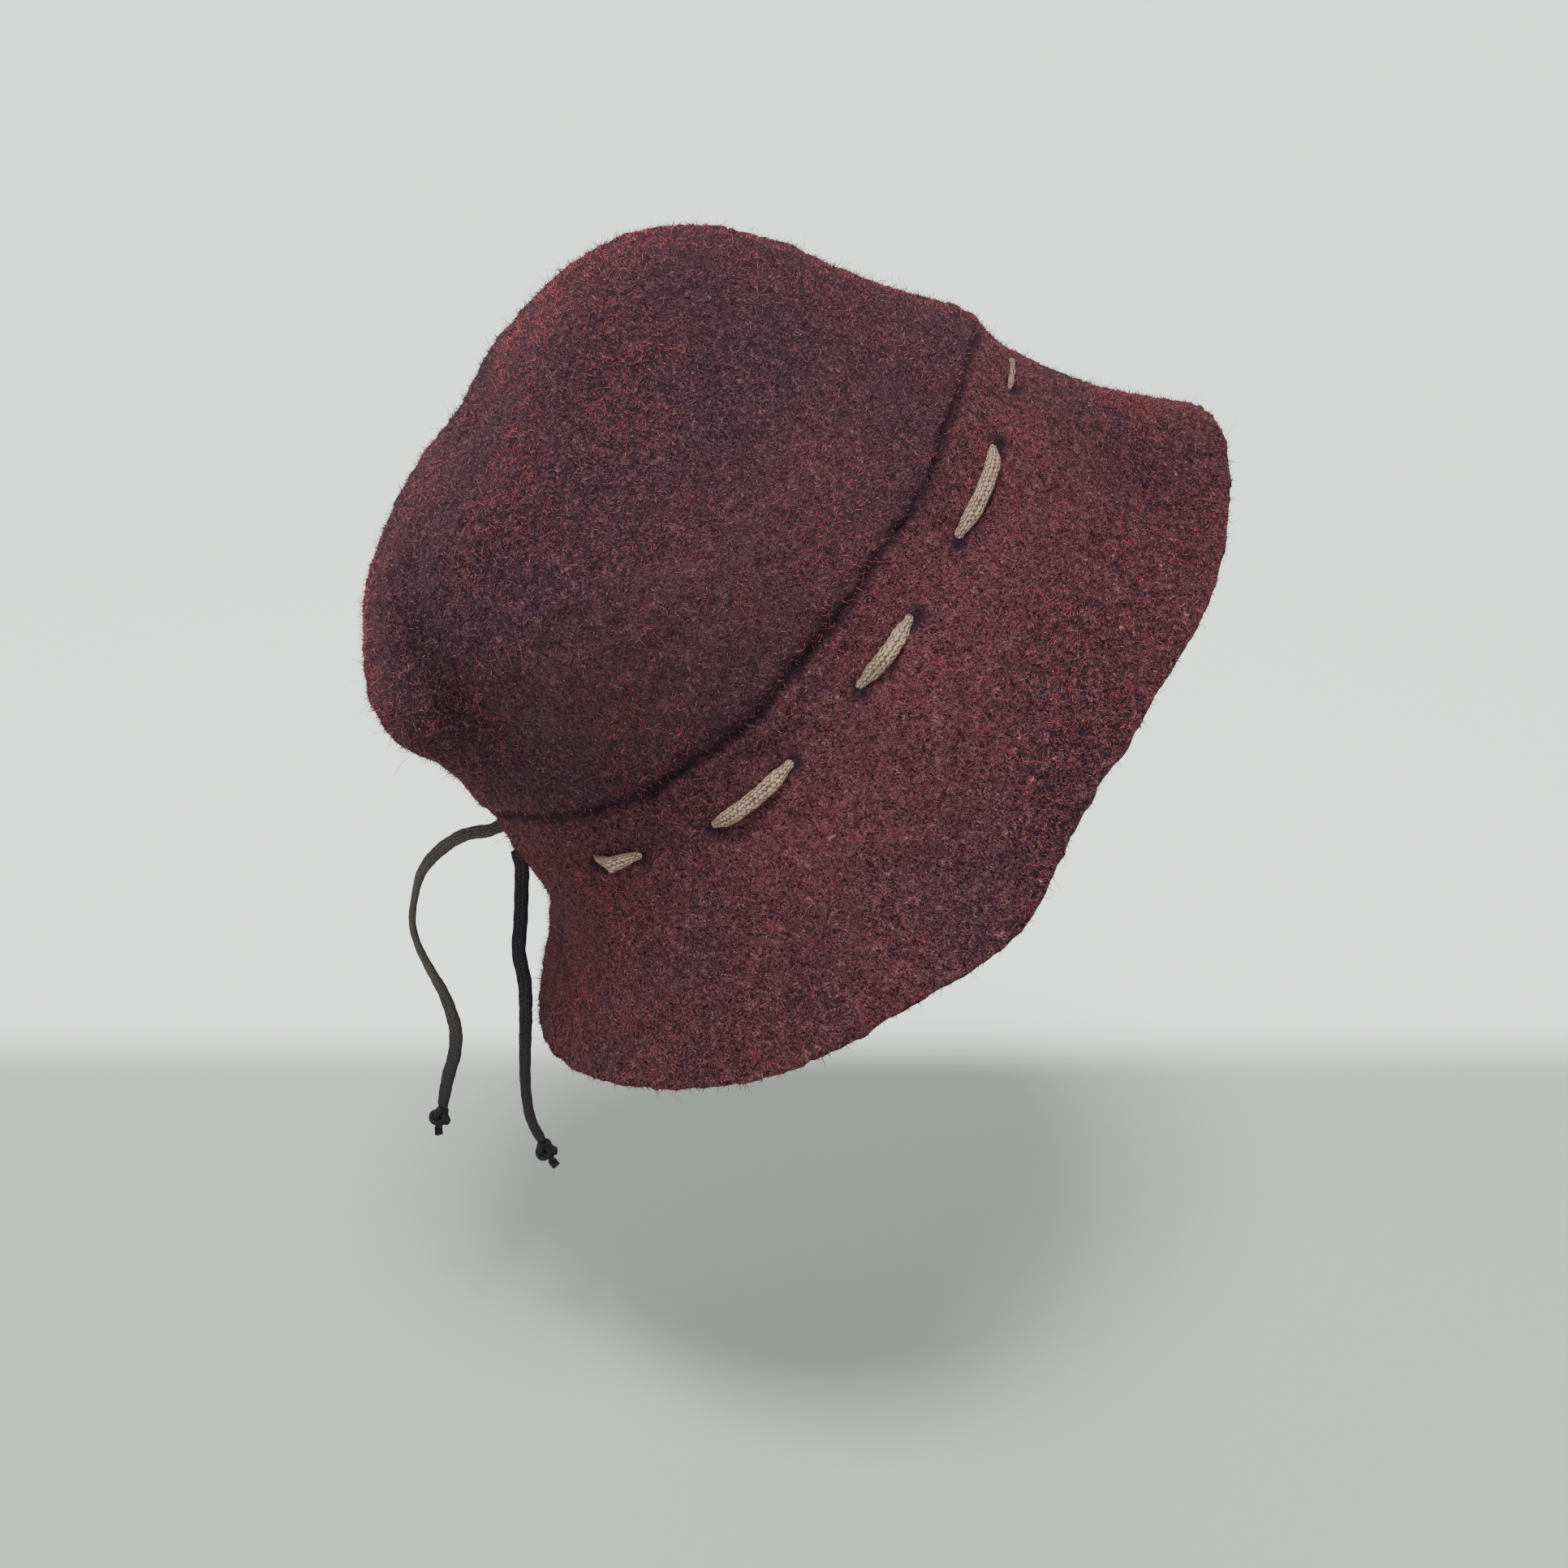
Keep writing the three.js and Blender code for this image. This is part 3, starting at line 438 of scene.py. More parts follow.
def brim_point(angle, down, wall, pebble, pull=0.0):
    """The brim's face: its form, moved along its normal by the seam's relief, the folds, the pebbles and
    the pull of the cord at its slits. With a wall it is the inner face."""
    form = brim_form(angle, down)
    depth = -FOLD_DEPTH * dents(angle, down, BRIM_FOLDS) - pull
    depth = depth - wall if wall else depth + seam_relief(brim_height(angle) * down)
    depth = depth + pebble * noises(form + (INNER_SHIFT if wall else 0.0), PEBBLES)
    point = form + brim_normal(angle, down) * depth[..., None]
    point[..., 2] += seam_wander(angle, brim_height(angle) * down) + SEAM_LAP / 2 * (down == 0)
    return point


def at_back(angle):
    """1 where the crown's lip stands out most, fading round the hat."""
    return turn_bell(angle, BACK_LIP_ANGLE, BACK_LIP_SPREAD)


def lace_place(angle):
    """How far down the brim the cord is laced, as a share."""
    return LACE_DROP * around("lace", angle) / brim_height(angle)


def pressed(angle, front):
    """How far the felt gives way under the cord's outer stretches at an angle, or how far the cord
    sinks."""
    return PRESS + front * turn_bell(angle, FRONT_MIDDLE, FRONT_REACH / 2)


def laid_outside(angle):
    """1 where the cord lies outside the felt, falling to 0 beyond the slits."""
    middle, reach = np.array([((a + b) / 2, (a - b) / 2) for a, b in STITCHES]).T
    return np.clip(2 - np.abs(turn_between(np.asarray(angle)[..., None], middle)) / reach, 0, 1).max(axis=-1)


def hat_to_world(points):
    """Leans the hat to its right and tilts it back, and turns millimetres into metres."""
    lean, tilt = math.radians(LEAN), math.radians(TILT_BACK)
    x, y, z = points[..., 0], points[..., 1], points[..., 2]
    y, z = y * math.cos(lean) - z * math.sin(lean), y * math.sin(lean) + z * math.cos(lean)
    x, z = x * math.cos(tilt) - z * math.sin(tilt), x * math.sin(tilt) + z * math.cos(tilt)
    return np.stack([x, y, z], axis=-1) * MM


# Meshes

def grid_quads(rows, columns, wrap_rows, wrap_columns=True):
    """The faces between neighbouring rows and columns of a grid of points."""
    i = np.arange(rows if wrap_rows else rows - 1)[:, None]
    j = np.arange(columns if wrap_columns else columns - 1)[None, :]
    a, b = i * columns + j, i * columns + (j + 1) % columns
    low = (i + 1) % rows * columns
    return np.stack([a, b, low + (j + 1) % columns, low + j], axis=-1)


def put_mesh(name, points, quads, triangles=(), corner_uv=None, tints=None):
    """Puts arrays of points, quads and triangles into a new object. A closed mesh whose signed volume is
    negative is inside out, so its faces are turned round."""
    quads = np.asarray(quads, np.int64).reshape(-1, 4)
    triangles = np.asarray(triangles, np.int64).reshape(-1, 3)
    volume = 0.0
    for a, b, c in (quads.T[:3], quads.T[[0, 2, 3]], triangles.T):
        volume += float(np.einsum("ij,ij->", points[a], np.cross(points[b], points[c])))
    if volume < 0:
        quads, triangles = quads[:, ::-1], triangles[:, ::-1]
        corner_uv = corner_uv[:, ::-1] if corner_uv is not None else None
    corners = np.concatenate([quads.ravel(), triangles.ravel()]).astype(np.int32)
    starts = np.concatenate([np.arange(len(quads)) * 4, len(quads) * 4 + np.arange(len(triangles)) * 3])
    mesh = bpy.data.meshes.new(name)
    mesh.vertices.add(len(points))
    mesh.vertices.foreach_set("co", points.astype(np.float32).ravel())
    mesh.loops.add(len(corners))
    mesh.loops.foreach_set("vertex_index", corners)
    mesh.polygons.add(len(starts))
    mesh.polygons.foreach_set("loop_start", starts.astype(np.int32))
    mesh.polygons.foreach_set("use_smooth", np.ones(len(starts), bool))
    mesh.update(calc_edges=True)
    if corner_uv is not None:
        uv = np.zeros((len(corners), 2), np.float32)
        uv[:len(quads) * 4] = corner_uv.reshape(-1, 2)
        mesh.uv_layers.new(name="along").data.foreach_set("uv", uv.ravel())
    for key, values in (tints or {}).items():
        attribute = mesh.attributes.new(key, "FLOAT", "POINT")
        attribute.data.foreach_set("value", values.astype(np.float32).ravel())
    mesh.validate()
    thing = bpy.data.objects.new(name, mesh)
    bpy.context.scene.collection.objects.link(thing)
    return thing


def finish_piece(thing, material, nodes=()):
    """Gives a piece its material and slot, hides the solids that it stands for, and lets it ride on the
    hat."""
    thing.data.materials.append(material)
    if nodes:
        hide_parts(*nodes)
    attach(thing, BODY)


def even_rows(spacing):
    """The crown's rows at even steps of arc length up its side, to just below the top."""
    rows = np.linspace(0, len(CROWN_ROWS) - 1 - TOP_GAP, ROW_SAMPLES)
    length = way_along(crown_form(np.full(ROW_SAMPLES, 90.0), rows))
    steps = max(int(round(length[-1] / spacing)), 2)
    return np.interp(np.linspace(0, length[-1], steps + 1), length, rows)


def crown_faces(sizes):
    """Two grids over the crown, outer and inner, with the outer one's painted shade at the seam and its
    painted light and shade.
    Columns are even angles, and the outer rows are closer at the seam."""
    angles = np.linspace(0, 360, CROWN_SIDES, endpoint=False)[None, :]
    rows, inner_rows = even_rows(OUTER_SPACING), even_rows(INNER_SPACING)[:, None]
    rows = np.unique(np.concatenate([rows, rows[1:5] / 2, rows[1:2] / 4]))[:, None]
    outer = crown_point(angles, rows, 0.0, sizes.pebble_depth / MM)
    inner = crown_point(angles, inner_rows, FELT_WALL, sizes.pebble_depth / MM)
    # The seam's painted shade, left off the crown's side at the back, where the crown's lip is lit.
    shade = seam_shade(outer, CROWN_HEIGHT * crown_column("rise", rows)) * (1 - at_back(angles))
    return outer, inner, shade, light_and_shade(angles, rows, CROWN_LIGHT_AND_SHADE)


def slit_columns():
    """Angles round the brim, and the first column of each slit. Every slit has a column at each end and
    some between, and the rest are evenly spaced. The first column of all is between two slits."""
    start = FIRST_COLUMN
    half = SLIT_HALF_LENGTH / band_millimetres(SLIT_ANGLES)
    centres = np.where(SLIT_ANGLES < start, SLIT_ANGLES + 360, SLIT_ANGLES)
    order = np.argsort(centres)
    angles, holes = [], []
    last = start
    for centre, reach in zip(centres[order], half[order]):
        gap = centre - reach - last
        steps = max(int(round(gap * band_millimetres(centre) / COLUMN_SPACING)), 2)
        angles.append(np.linspace(last, centre - reach, steps, endpoint=False))
        holes.append(sum(len(a) for a in angles))
        angles.append(np.linspace(centre - reach, centre + reach, HOLE_COLUMNS, endpoint=False))
        last = centre + reach
    steps = max(int(round((start + 360 - last) * band_millimetres(0) / COLUMN_SPACING)), 2)
    angles.append(np.linspace(last, start + 360, steps, endpoint=False))
    return np.concatenate(angles), np.array(holes)


def band_millimetres(angle):
    """Millimetres for each degree round the oval."""
    a = np.radians(angle)
    return np.radians(np.hypot(OVAL_LENGTH / 2 * np.sin(a), OVAL_WIDTH / 2 * np.cos(a)))


def brim_faces(sizes):
    """Two grids over the brim, outer and inner. A row is a drop below the seam, counted from the cord's
    line, so that the same rows bound every slit. Near a slit the rows close in at its ends to make it
    round, the columns slide towards the cord's outer stretch on the outer face and away from it on the
    inner one, and the felt is pulled in. Also gives the outer face's painted shade and its painted light and
    shade, and each slit's first column."""
    angles, holes = slit_columns()
    lace = lace_place(angles) * brim_height(angles)
    above = np.linspace(0, 1, ROWS_ABOVE, endpoint=False)[:, None]
    high = above ** ROW_CROWDING * (lace - SLIT_HALF_HEIGHT)
    middle = lace + np.linspace(-1, 1, ROWS_ACROSS, endpoint=False)[:, None] * SLIT_HALF_HEIGHT
    start = lace + SLIT_HALF_HEIGHT
    low = start + np.linspace(0, 1, ROWS_BELOW)[:, None] * (brim_height(angles) - start)
    drop = np.vstack([high, middle, low])
    offset = drop - lace
    x = turn_between(angles[:, None], SLIT_ANGLES[None, :]) * band_millimetres(SLIT_ANGLES)
    squeeze = 1 - ROUNDING * np.sum(bell(np.abs(x) - SLIT_HALF_LENGTH, ROUNDING_LENGTH), axis=1)
    beyond = np.maximum(np.abs(offset) - SLIT_HALF_HEIGHT, 0)
    inside = np.minimum(np.abs(offset), SLIT_HALF_HEIGHT)
    moved = np.sign(offset) * (beyond + inside * (1 - (1 - squeeze) * bell(beyond, ROUNDING_REACH)))
    drop = np.where((drop > 0) & (beyond < ROUNDING_LIMIT), lace + moved, drop)
    slide = np.sum(SLIT_SIDES * SLIT_SLANT * bell(x, SLANT_REACH), axis=1) / band_millimetres(angles)
    slide = slide * bell(offset, SLANT_REACH)
    near, slit_shadow = (bell(x + SLIT_SIDES * at, length).max(axis=1) * bell(offset - drop_by, height)
                    for at, length, drop_by, height in (PULL, SLIT_SHADOW))
    swell = turn_bell(angles, EXIT_SWELL_ANGLE, EXIT_SWELL_SPREAD) * bell(offset, EXIT_SWELL_HEIGHT)
    pull = sizes.slit_pull / MM * near + pressed(angles, FRONT_PRESS) * bell(offset, PRESS_WIDTH)
    pull = pull - EXIT_SWELL * swell
    calm = 1 - CALM * laid_outside(angles) * bell(offset, CALM_HEIGHT)
    faces = []
    for wall, way in ((0.0, 1), (FELT_WALL, -1)):
        turned = angles + way * slide
        down = np.clip(drop / brim_height(angles), 0, 1)
        faces.append(brim_point(turned, down, wall, sizes.pebble_depth / MM * calm, pull))
    # The painted shadow beside the slits, made ragged by noise.
    ragged_shadow = SLIT_SHADOW_GAIN * slit_shadow - SLIT_SHADOW_LESS + noises(faces[0], SLIT_SHADOW_NOISES)
    slit_shadow = np.clip(ragged_shadow, 0, 1) * (slit_shadow > SLIT_SHADOW_LEAST)
    # Painted shadow on the band under the crown's lip at the back.
    gap = at_back(angles) * bell(drop - BACK_SHADOW_DROP, BACK_SHADOW_WIDTH)
    shade = np.maximum(np.maximum(seam_shade(faces[0], drop), gap), slit_shadow)
    # Painted light and shade in hollows and on bulges.
    tone = light_and_shade(angles, np.clip(drop / brim_height(angles), 0, 1), BRIM_LIGHT_AND_SHADE)
    return faces[0], faces[1], shade, tone, holes


def face_normals(points):
    """Unit normals of a grid that wraps round its columns, pointing away from the hat's axis."""
    across = np.roll(points, -1, axis=1) - np.roll(points, 1, axis=1)
    normal = unit(np.cross(across, np.gradient(points, axis=0)))
    flat = points * (1, 1, 0)
    return normal * (1 if np.mean(np.einsum("ijk,ijk->ij", normal, flat)) > 0 else -1)


# Cords

def catmull_rom(points, spacing):
    """Centripetal Catmull-Rom curve through the points, with an end point mirrored beyond each end, at even
    steps of arc length. Gives the places, each one's share of the way counted in points, and its length
    along it."""
    p = np.vstack([2 * points[0] - points[1], points, 2 * points[-1] - points[-2]])
    fine = 24
    q = np.linspace(0, 1, fine, endpoint=False)[None, :, None]
    p0, p1, p2, p3 = (p[k:len(p) - 3 + k][:, None, :] for k in range(4))
    pairs = ((p0, p1), (p1, p2), (p2, p3))
    d0, d1, d2 = (np.sqrt(np.linalg.norm(b - a, axis=-1, keepdims=True)) for a, b in pairs)
    t1 = ((p1 - p0) / d0 - (p2 - p0) / (d0 + d1) + (p2 - p1) / d1) * d1
    t2 = ((p2 - p1) / d1 - (p3 - p1) / (d1 + d2) + (p3 - p2) / d2) * d1
    curve = p1 + t1 * q + (3 * (p2 - p1) - 2 * t1 - t2) * q ** 2 + (2 * (p1 - p2) + t1 + t2) * q ** 3
    curve = np.vstack([curve.reshape(-1, 3), points[-1]])
    share = np.append((np.arange(len(points) - 1)[:, None] + q[0, :, 0]).ravel(), len(points) - 1)
    length = way_along(curve)
    at = np.linspace(0, length[-1], max(int(round(length[-1] / spacing)), 2) + 1)
    even = np.stack([np.interp(at, length, curve[:, k]) for k in range(3)], axis=1)
    return even, np.interp(at, length, share), at


def lace_route():
    """The cord's angles and its offsets from the felt's outer face: out of the left exit, in and out of the
    slits round the front, and out of the right exit."""
    outside = CORD_CLEARANCE + CORD_THICKNESS / 2
    inside = -FELT_WALL - outside
    reach = SLIT_REACH * 360 / (math.pi * (OVAL_LENGTH + OVAL_WIDTH) / 2)
    angles = SLIT_ANGLES - 360 * np.concatenate([[0], np.cumsum(np.diff(SLIT_ANGLES) > 0)])
    route = []
    for k, angle in enumerate(angles):
        before, after = (outside, inside) if k % 2 == 0 else (inside, outside)
        if k > 0:
            route.append((angle + reach, before, 0))
        route.append((angle, -FELT_WALL / 2, 0))
        if k < len(angles) - 1:
            route.append((angle - reach, after, 0))
            route.append(((angle + angles[k + 1]) / 2, after + (LACE_BOW if after == outside else 0), 0))
    for turn, out, sink in LEFT_STUB:
        route.insert(0, (LEFT_EXIT + reach * turn, outside + out * EXIT_STUB, sink * EXIT_STUB))
    for turn, out, sink in RIGHT_STUB:
        route.append((angles[-1] - reach * turn, outside + out * EXIT_STUB, sink * EXIT_STUB))
    return np.array(route, float)


def view_axes():
    """The picture's way to the right, the level way ahead of the camera, and the way back to the eye."""
    az, el = math.radians(AZIMUTH), math.radians(ELEVATION)
    right = np.array((math.cos(az), math.sin(az), 0.0))
    ahead = np.array((-math.sin(az), math.cos(az), 0.0))
    return right, ahead, np.array((math.sin(az) * math.cos(el), -math.cos(az) * math.cos(el), math.sin(el)))


def cord_tube(centres, normal, wide, lengths, width=1.0):
    """A flat cord: a rounded oblong section, its width along one direction and its thickness along the
    other, carried along the centres. Small ripples stand for the plaits, shifted by half from one column to
    the next."""
    sides = CORD_SIDES
    a = np.linspace(0, 2 * np.pi, sides, endpoint=False)
    c, s = np.cos(a), np.sin(a)
    x = CORD_THICKNESS / 2 * np.sign(c) * np.abs(c) ** CORD_SQUARENESS
    y = CORD_WIDTH / 2 * np.sign(s) * np.abs(s) ** CORD_SQUARENESS
    shift = np.pi * (np.arange(sides) // (sides // PLAITS) % 2)
    plait = np.cos(PLAITS * a)[None, :] * np.cos(2 * np.pi * lengths[:, None] / PLAIT_LENGTH + shift)
    swell = 1 + PLAIT_RIPPLE * plait + PLAIT_RIPPLE * np.sin(lengths * CORD_WAVER)[:, None]
    width = np.reshape(width, (-1, 1))
    broad = wide[:, None] * (y * swell * width)[..., None]
    points = centres[:, None] + normal[:, None] * (x * swell * (0.5 + 0.5 * width))[..., None] + broad
    rows = len(centres)
    quads = grid_quads(rows, sides, False).reshape(-1, 4)
    caps = []
    for ring, at in ((0, centres[0]), (rows - 1, centres[-1])):
        ring_points = np.arange(sides) + ring * sides
        pole = rows * sides + len(caps)
        fan = np.stack([ring_points, np.roll(ring_points, -1), np.full(sides, pole)], axis=-1)
        caps.append(fan[:, ::-1] if ring == 0 else fan)
    flat = np.vstack([points.reshape(-1, 3), centres[0], centres[-1]])
    u = np.stack([lengths[:-1], lengths[:-1], lengths[1:], lengths[1:]], axis=-1)[:, None, :]
    v = np.arange(sides)[:, None] + np.array([0, 1, 1, 0])
    u, v = np.broadcast_arrays(u, v[None] / sides)
    return flat, quads, np.vstack(caps), np.stack([u, v], axis=-1).reshape(-1, 4, 2)


# Materials

class Shade:
    """Wraps a node's output socket, so that Python's operators on it add Math nodes."""

    def __init__(self, tree, socket):
        self.tree, self.socket = tree, socket

    def maths(self, operation, other=None, flipped=False):
        """Adds a Math node. Flipped, the other value comes first."""
        node = self.tree.nodes.new("ShaderNodeMath")
        node.operation = operation
        plug(self.tree, node.inputs[1 if flipped else 0], self)
        if other is not None:
            plug(self.tree, node.inputs[0 if flipped else 1], other)
        return Shade(self.tree, node.outputs[0])

    def __add__(self, other):
        return self.maths("ADD", other)

    def __sub__(self, other):
        return self.maths("SUBTRACT", other)

    def __rsub__(self, other):
        return self.maths("SUBTRACT", other, flipped=True)

    def __mul__(self, other):
        return self.maths("MULTIPLY", other)

    __radd__, __rmul__ = __add__, __mul__

    def __abs__(self):
        return self.maths("ABSOLUTE")

    def above_zero(self):
        return self.maths("MAXIMUM", 0.0)

    def between(self, low, high):
        """0 below low, 1 above high, and smooth from one to the other."""
        node = self.tree.nodes.new("ShaderNodeMapRange")
        node.interpolation_type = "SMOOTHSTEP"
        plug(self.tree, node.inputs["Value"], self)
        node.inputs["From Min"].default_value, node.inputs["From Max"].default_value = low, high
        return Shade(self.tree, node.outputs["Result"])


def plug(tree, socket, value):
    """Links a Shade to a socket, or sets a plain value on it."""
    if isinstance(value, Shade):
        tree.links.new(value.socket, socket)
    else:
        socket.default_value = value


class Finish:
    """A material that is being made, with its Principled shader."""

    def __init__(self, name):
        self.material = bpy.data.materials.new(name)
        self.material.use_nodes = True
        self.tree = self.material.node_tree
        self.shader = self.tree.nodes["Principled BSDF"]

    def node(self, kind, settings=None, inputs=None, out=0):
        """Adds a node of a kind. Its settings go first, then the values or links of its sockets."""
        node = self.tree.nodes.new("ShaderNode" + kind)
        for key, value in (settings or {}).items():
            setattr(node, key, value)
        for key, value in (inputs or {}).items():
            plug(self.tree, node.inputs[key], value)
        return Shade(self.tree, node.outputs[out])

    def place(self):
        """The place on the hat, in metres in the shared frame."""
        return self.node("TexCoord", None, None, 3)

    def noise(self, where, scale, detail=2.0, roughness=0.5, distortion=0.0):
        return self.node("TexNoise", None, {"Vector": where, "Scale": scale, "Detail": detail,
                                            "Roughness": roughness, "Distortion": distortion})

    def mix(self, amount, under, over):
        """One colour over another by an amount."""
        return self.node("Mix", {"data_type": "RGBA"}, {0: amount, 6: under, 7: over}, 2)

    def layers(self, colour, layers):
        """Lays colours over a colour one after another, each by its own amount."""
        for amount, over in layers:
            colour = self.mix(amount, colour, opaque(over))
        return colour

    def bump(self, height, distance):
        node = self.node("Bump", None, {"Height": height, "Distance": distance, "Strength": 1.0})
        plug(self.tree, self.shader.inputs["Normal"], node)

    def set(self, **values):
        for key, value in values.items():
            plug(self.tree, self.shader.inputs[key.replace("_", " ")], value)
        return self.material


def opaque(colour, share=1.0):
    """A colour times a share, with its alpha."""
    return (*(part * share for part in colour), 1.0)


def wool_finish(name, colours, bulge, madder_share, coarse):
    """Boiled wool. Broad patches go from plum to madder, small ones to rust. The fibres are the lines where
    warped noises cross their middle: wide dull ones make the tangle, with painted shade in the pits between
    them, and thin ones are pale. The mesh's painted light and shade lie under the fibres, and the painted
    shade of its seam, its slits and the brim's inner face lies over them."""
    finish = Finish(name)
    place = finish.place()
    broad = finish.noise(place, 14.0, 3.0, 0.5)
    patch = finish.noise(place, 70.0, 3.0, 0.6)
    speck = finish.noise(place, 330.0, 2.0, 0.6)
    grain = finish.noise(place, 1500.0, 2.0, 0.7)
    tangle, pale = None, None
    for shift, scale in TANGLE:
        moved = finish.node("VectorMath", {"operation": "ADD"}, {0: place, 1: shift})
        off = abs(finish.noise(moved, scale, 1.5, 0.5, 1.2) - 0.5)
        strand = (1 - off * STRAND_THIN).above_zero()
        shown = finish.noise(moved, scale * 0.7, 1.0).between(0.46, 0.62)
        fibre = (1 - off * FIBRE_THIN).above_zero() * shown
        tangle = strand if tangle is None else tangle.maths("MAXIMUM", strand)
        pale = fibre if pale is None else pale.maths("MAXIMUM", fibre)
    madder = (broad * 0.6 + patch * 0.4).between(0.52 - madder_share, 0.82 - madder_share)
    # Painted light and shade of hollows and bulges, and painted shade at the seam, lip and slits.
    tone, painted_shade = (finish.node("Attribute", {"attribute_name": key}, None, 2) for key in ("tone", "painted_shade"))
    strong = min(0.68 * coarse, 1.0)
    colour = finish.layers(finish.mix(madder, opaque(colours.plum), opaque(colours.madder)), (
        # Painted shade in the hollows and painted light on the bulges.
        ((tone * -0.85).above_zero(), colours.hollow_shade),
        ((tone * 0.6).above_zero(), bulge),
        (speck.between(0.54, 0.7) * (0.15 + madder * 0.5) * coarse, colours.rust),
        # Painted shade in small pits.
        ((1 - speck.between(0.32, 0.48)) * (0.35 * coarse), colours.pit_shade),
        (grain.between(0.5, 0.64) * (0.5 * coarse), colours.heather_and_highlight),
        # Painted shade between the strands of the tangle.
        ((1 - tangle.between(0.2, 0.85)) * strong, colours.pit_shade),
        (pale * strong, colours.pale_fibre),
        # Painted shade in the seam, under the crown's lip and beside the slits.
        (painted_shade * SEAM_DARKNESS, colours.groove),
    ))
    finish.bump(tangle * 0.7 + pale * 0.35 + grain * 0.45 + speck * 0.8, 0.0022)
    return finish.set(Base_Color=colour, Roughness=0.86 + tangle * 0.12, Specular_IOR_Level=0.06,
                      Sheen_Weight=0.03, Sheen_Roughness=0.35, Sheen_Tint=opaque((0.8, 0.2, 0.22)))


def cord_finish(name, light, gap_shade, ends):
    """A flat braided cord. Stitches are a wave along the cord times a wave across it, moved on by half a
    stitch from column to column, with painted shade in the gaps between them. At each of its ends, a start
    and a width in millimetres, it takes on a painted shade. A width below 0 runs back towards the cord's
    beginning."""
    finish = Finish(name)
    uv = finish.node("UVMap", {"uv_map": "along"})
    u, v = (finish.node("SeparateXYZ", None, {0: uv}, out) for out in (0, 1))
    column = v * BRAID_COLUMNS
    odd = column.maths("FLOOR").maths("MODULO", 2.0)
    rib = (column * (2 * math.pi)).maths("COSINE")
    stitch = (u * (2 * math.pi / STITCH_LENGTH) + odd * math.pi + rib * 0.8).maths("SINE")
    knit = (0.5 - rib * 0.32) + stitch * 0.3
    place = finish.place()
    fuzz = finish.noise(place, 1500.0, 2.0, 0.7)
    wear = finish.noise(place, 240.0, 2.0)
    grain_at = finish.node("CombineXYZ", None, {0: u * 0.75, 1: v * 17.0, 2: 0.0})
    grain = finish.noise(grain_at, 1.0, 2.0, 0.6, 0.6)
    height = knit * 0.45 + fuzz * 0.3 + grain * 0.9
    # Painted shade in the gaps between the stitches.
    colour = finish.mix(height.between(0.58, 1.02), opaque(gap_shade), opaque(light))
    colour = finish.mix(wear.between(0.4, 0.75) * 0.25, colour, opaque(gap_shade))
    for start, width, shade in ends:
        amount = u.between(start, start + width) if width > 0 else 1 - u.between(start + width, start)
        over = finish.mix(height.between(0.2, 0.9), opaque(shade, 0.5), opaque(shade))
        colour = finish.mix(amount, colour, over)
    finish.bump(height, 0.0004)
    return finish.set(Base_Color=colour, Roughness=0.82 + fuzz * 0.12, Specular_IOR_Level=0.15)


def fibre_finish(name, colours):
    """Single wool fibres, some reddish and some pale."""
    finish = Finish(name)
    place = finish.place()
    pick = finish.noise(place, 900.0, 1.0).between(0.45, 0.75)
    reddish = finish.noise(place, 30.0, 2.0).between(0.35, 0.65)
    colour = finish.mix(reddish, opaque(colours.plum), opaque(colours.rust))
    colour = finish.mix(pick * 0.7, colour, opaque(colours.pale_fibre))
    return finish.set(Base_Color=colour, Roughness=0.8, Specular_IOR_Level=0.1)


def backdrop_finish(name, colours, grain, depth):
    """A plain pale surface with a fine grain, greyer on the floor, and brighter by a light of its own
    beyond it."""
    finish = Finish(name)
    place = finish.place()
    noise = finish.noise(place, grain, 3.0, 0.6)
    finish.bump(noise, depth)
    ahead = tuple(view_axes()[1])
    distance = finish.node("VectorMath", {"operation": "DOT_PRODUCT"}, {0: place, 1: ahead}, 1)
    wall = distance.between(TONE_EDGE - TONE_BLEND, TONE_EDGE + TONE_BLEND)
    tone = finish.mix(wall, opaque(colours.floor), opaque(colours.wall, WALL_SHARE))
    glow = finish.mix(wall, opaque((0.0, 0.0, 0.0)), opaque(colours.wall))
    return finish.set(Base_Color=finish.mix(noise * 0.1, tone, opaque(colours.floor)), Roughness=0.95,
                      Emission_Color=glow, Emission_Strength=WALL_GLOW)


# Loose fibres

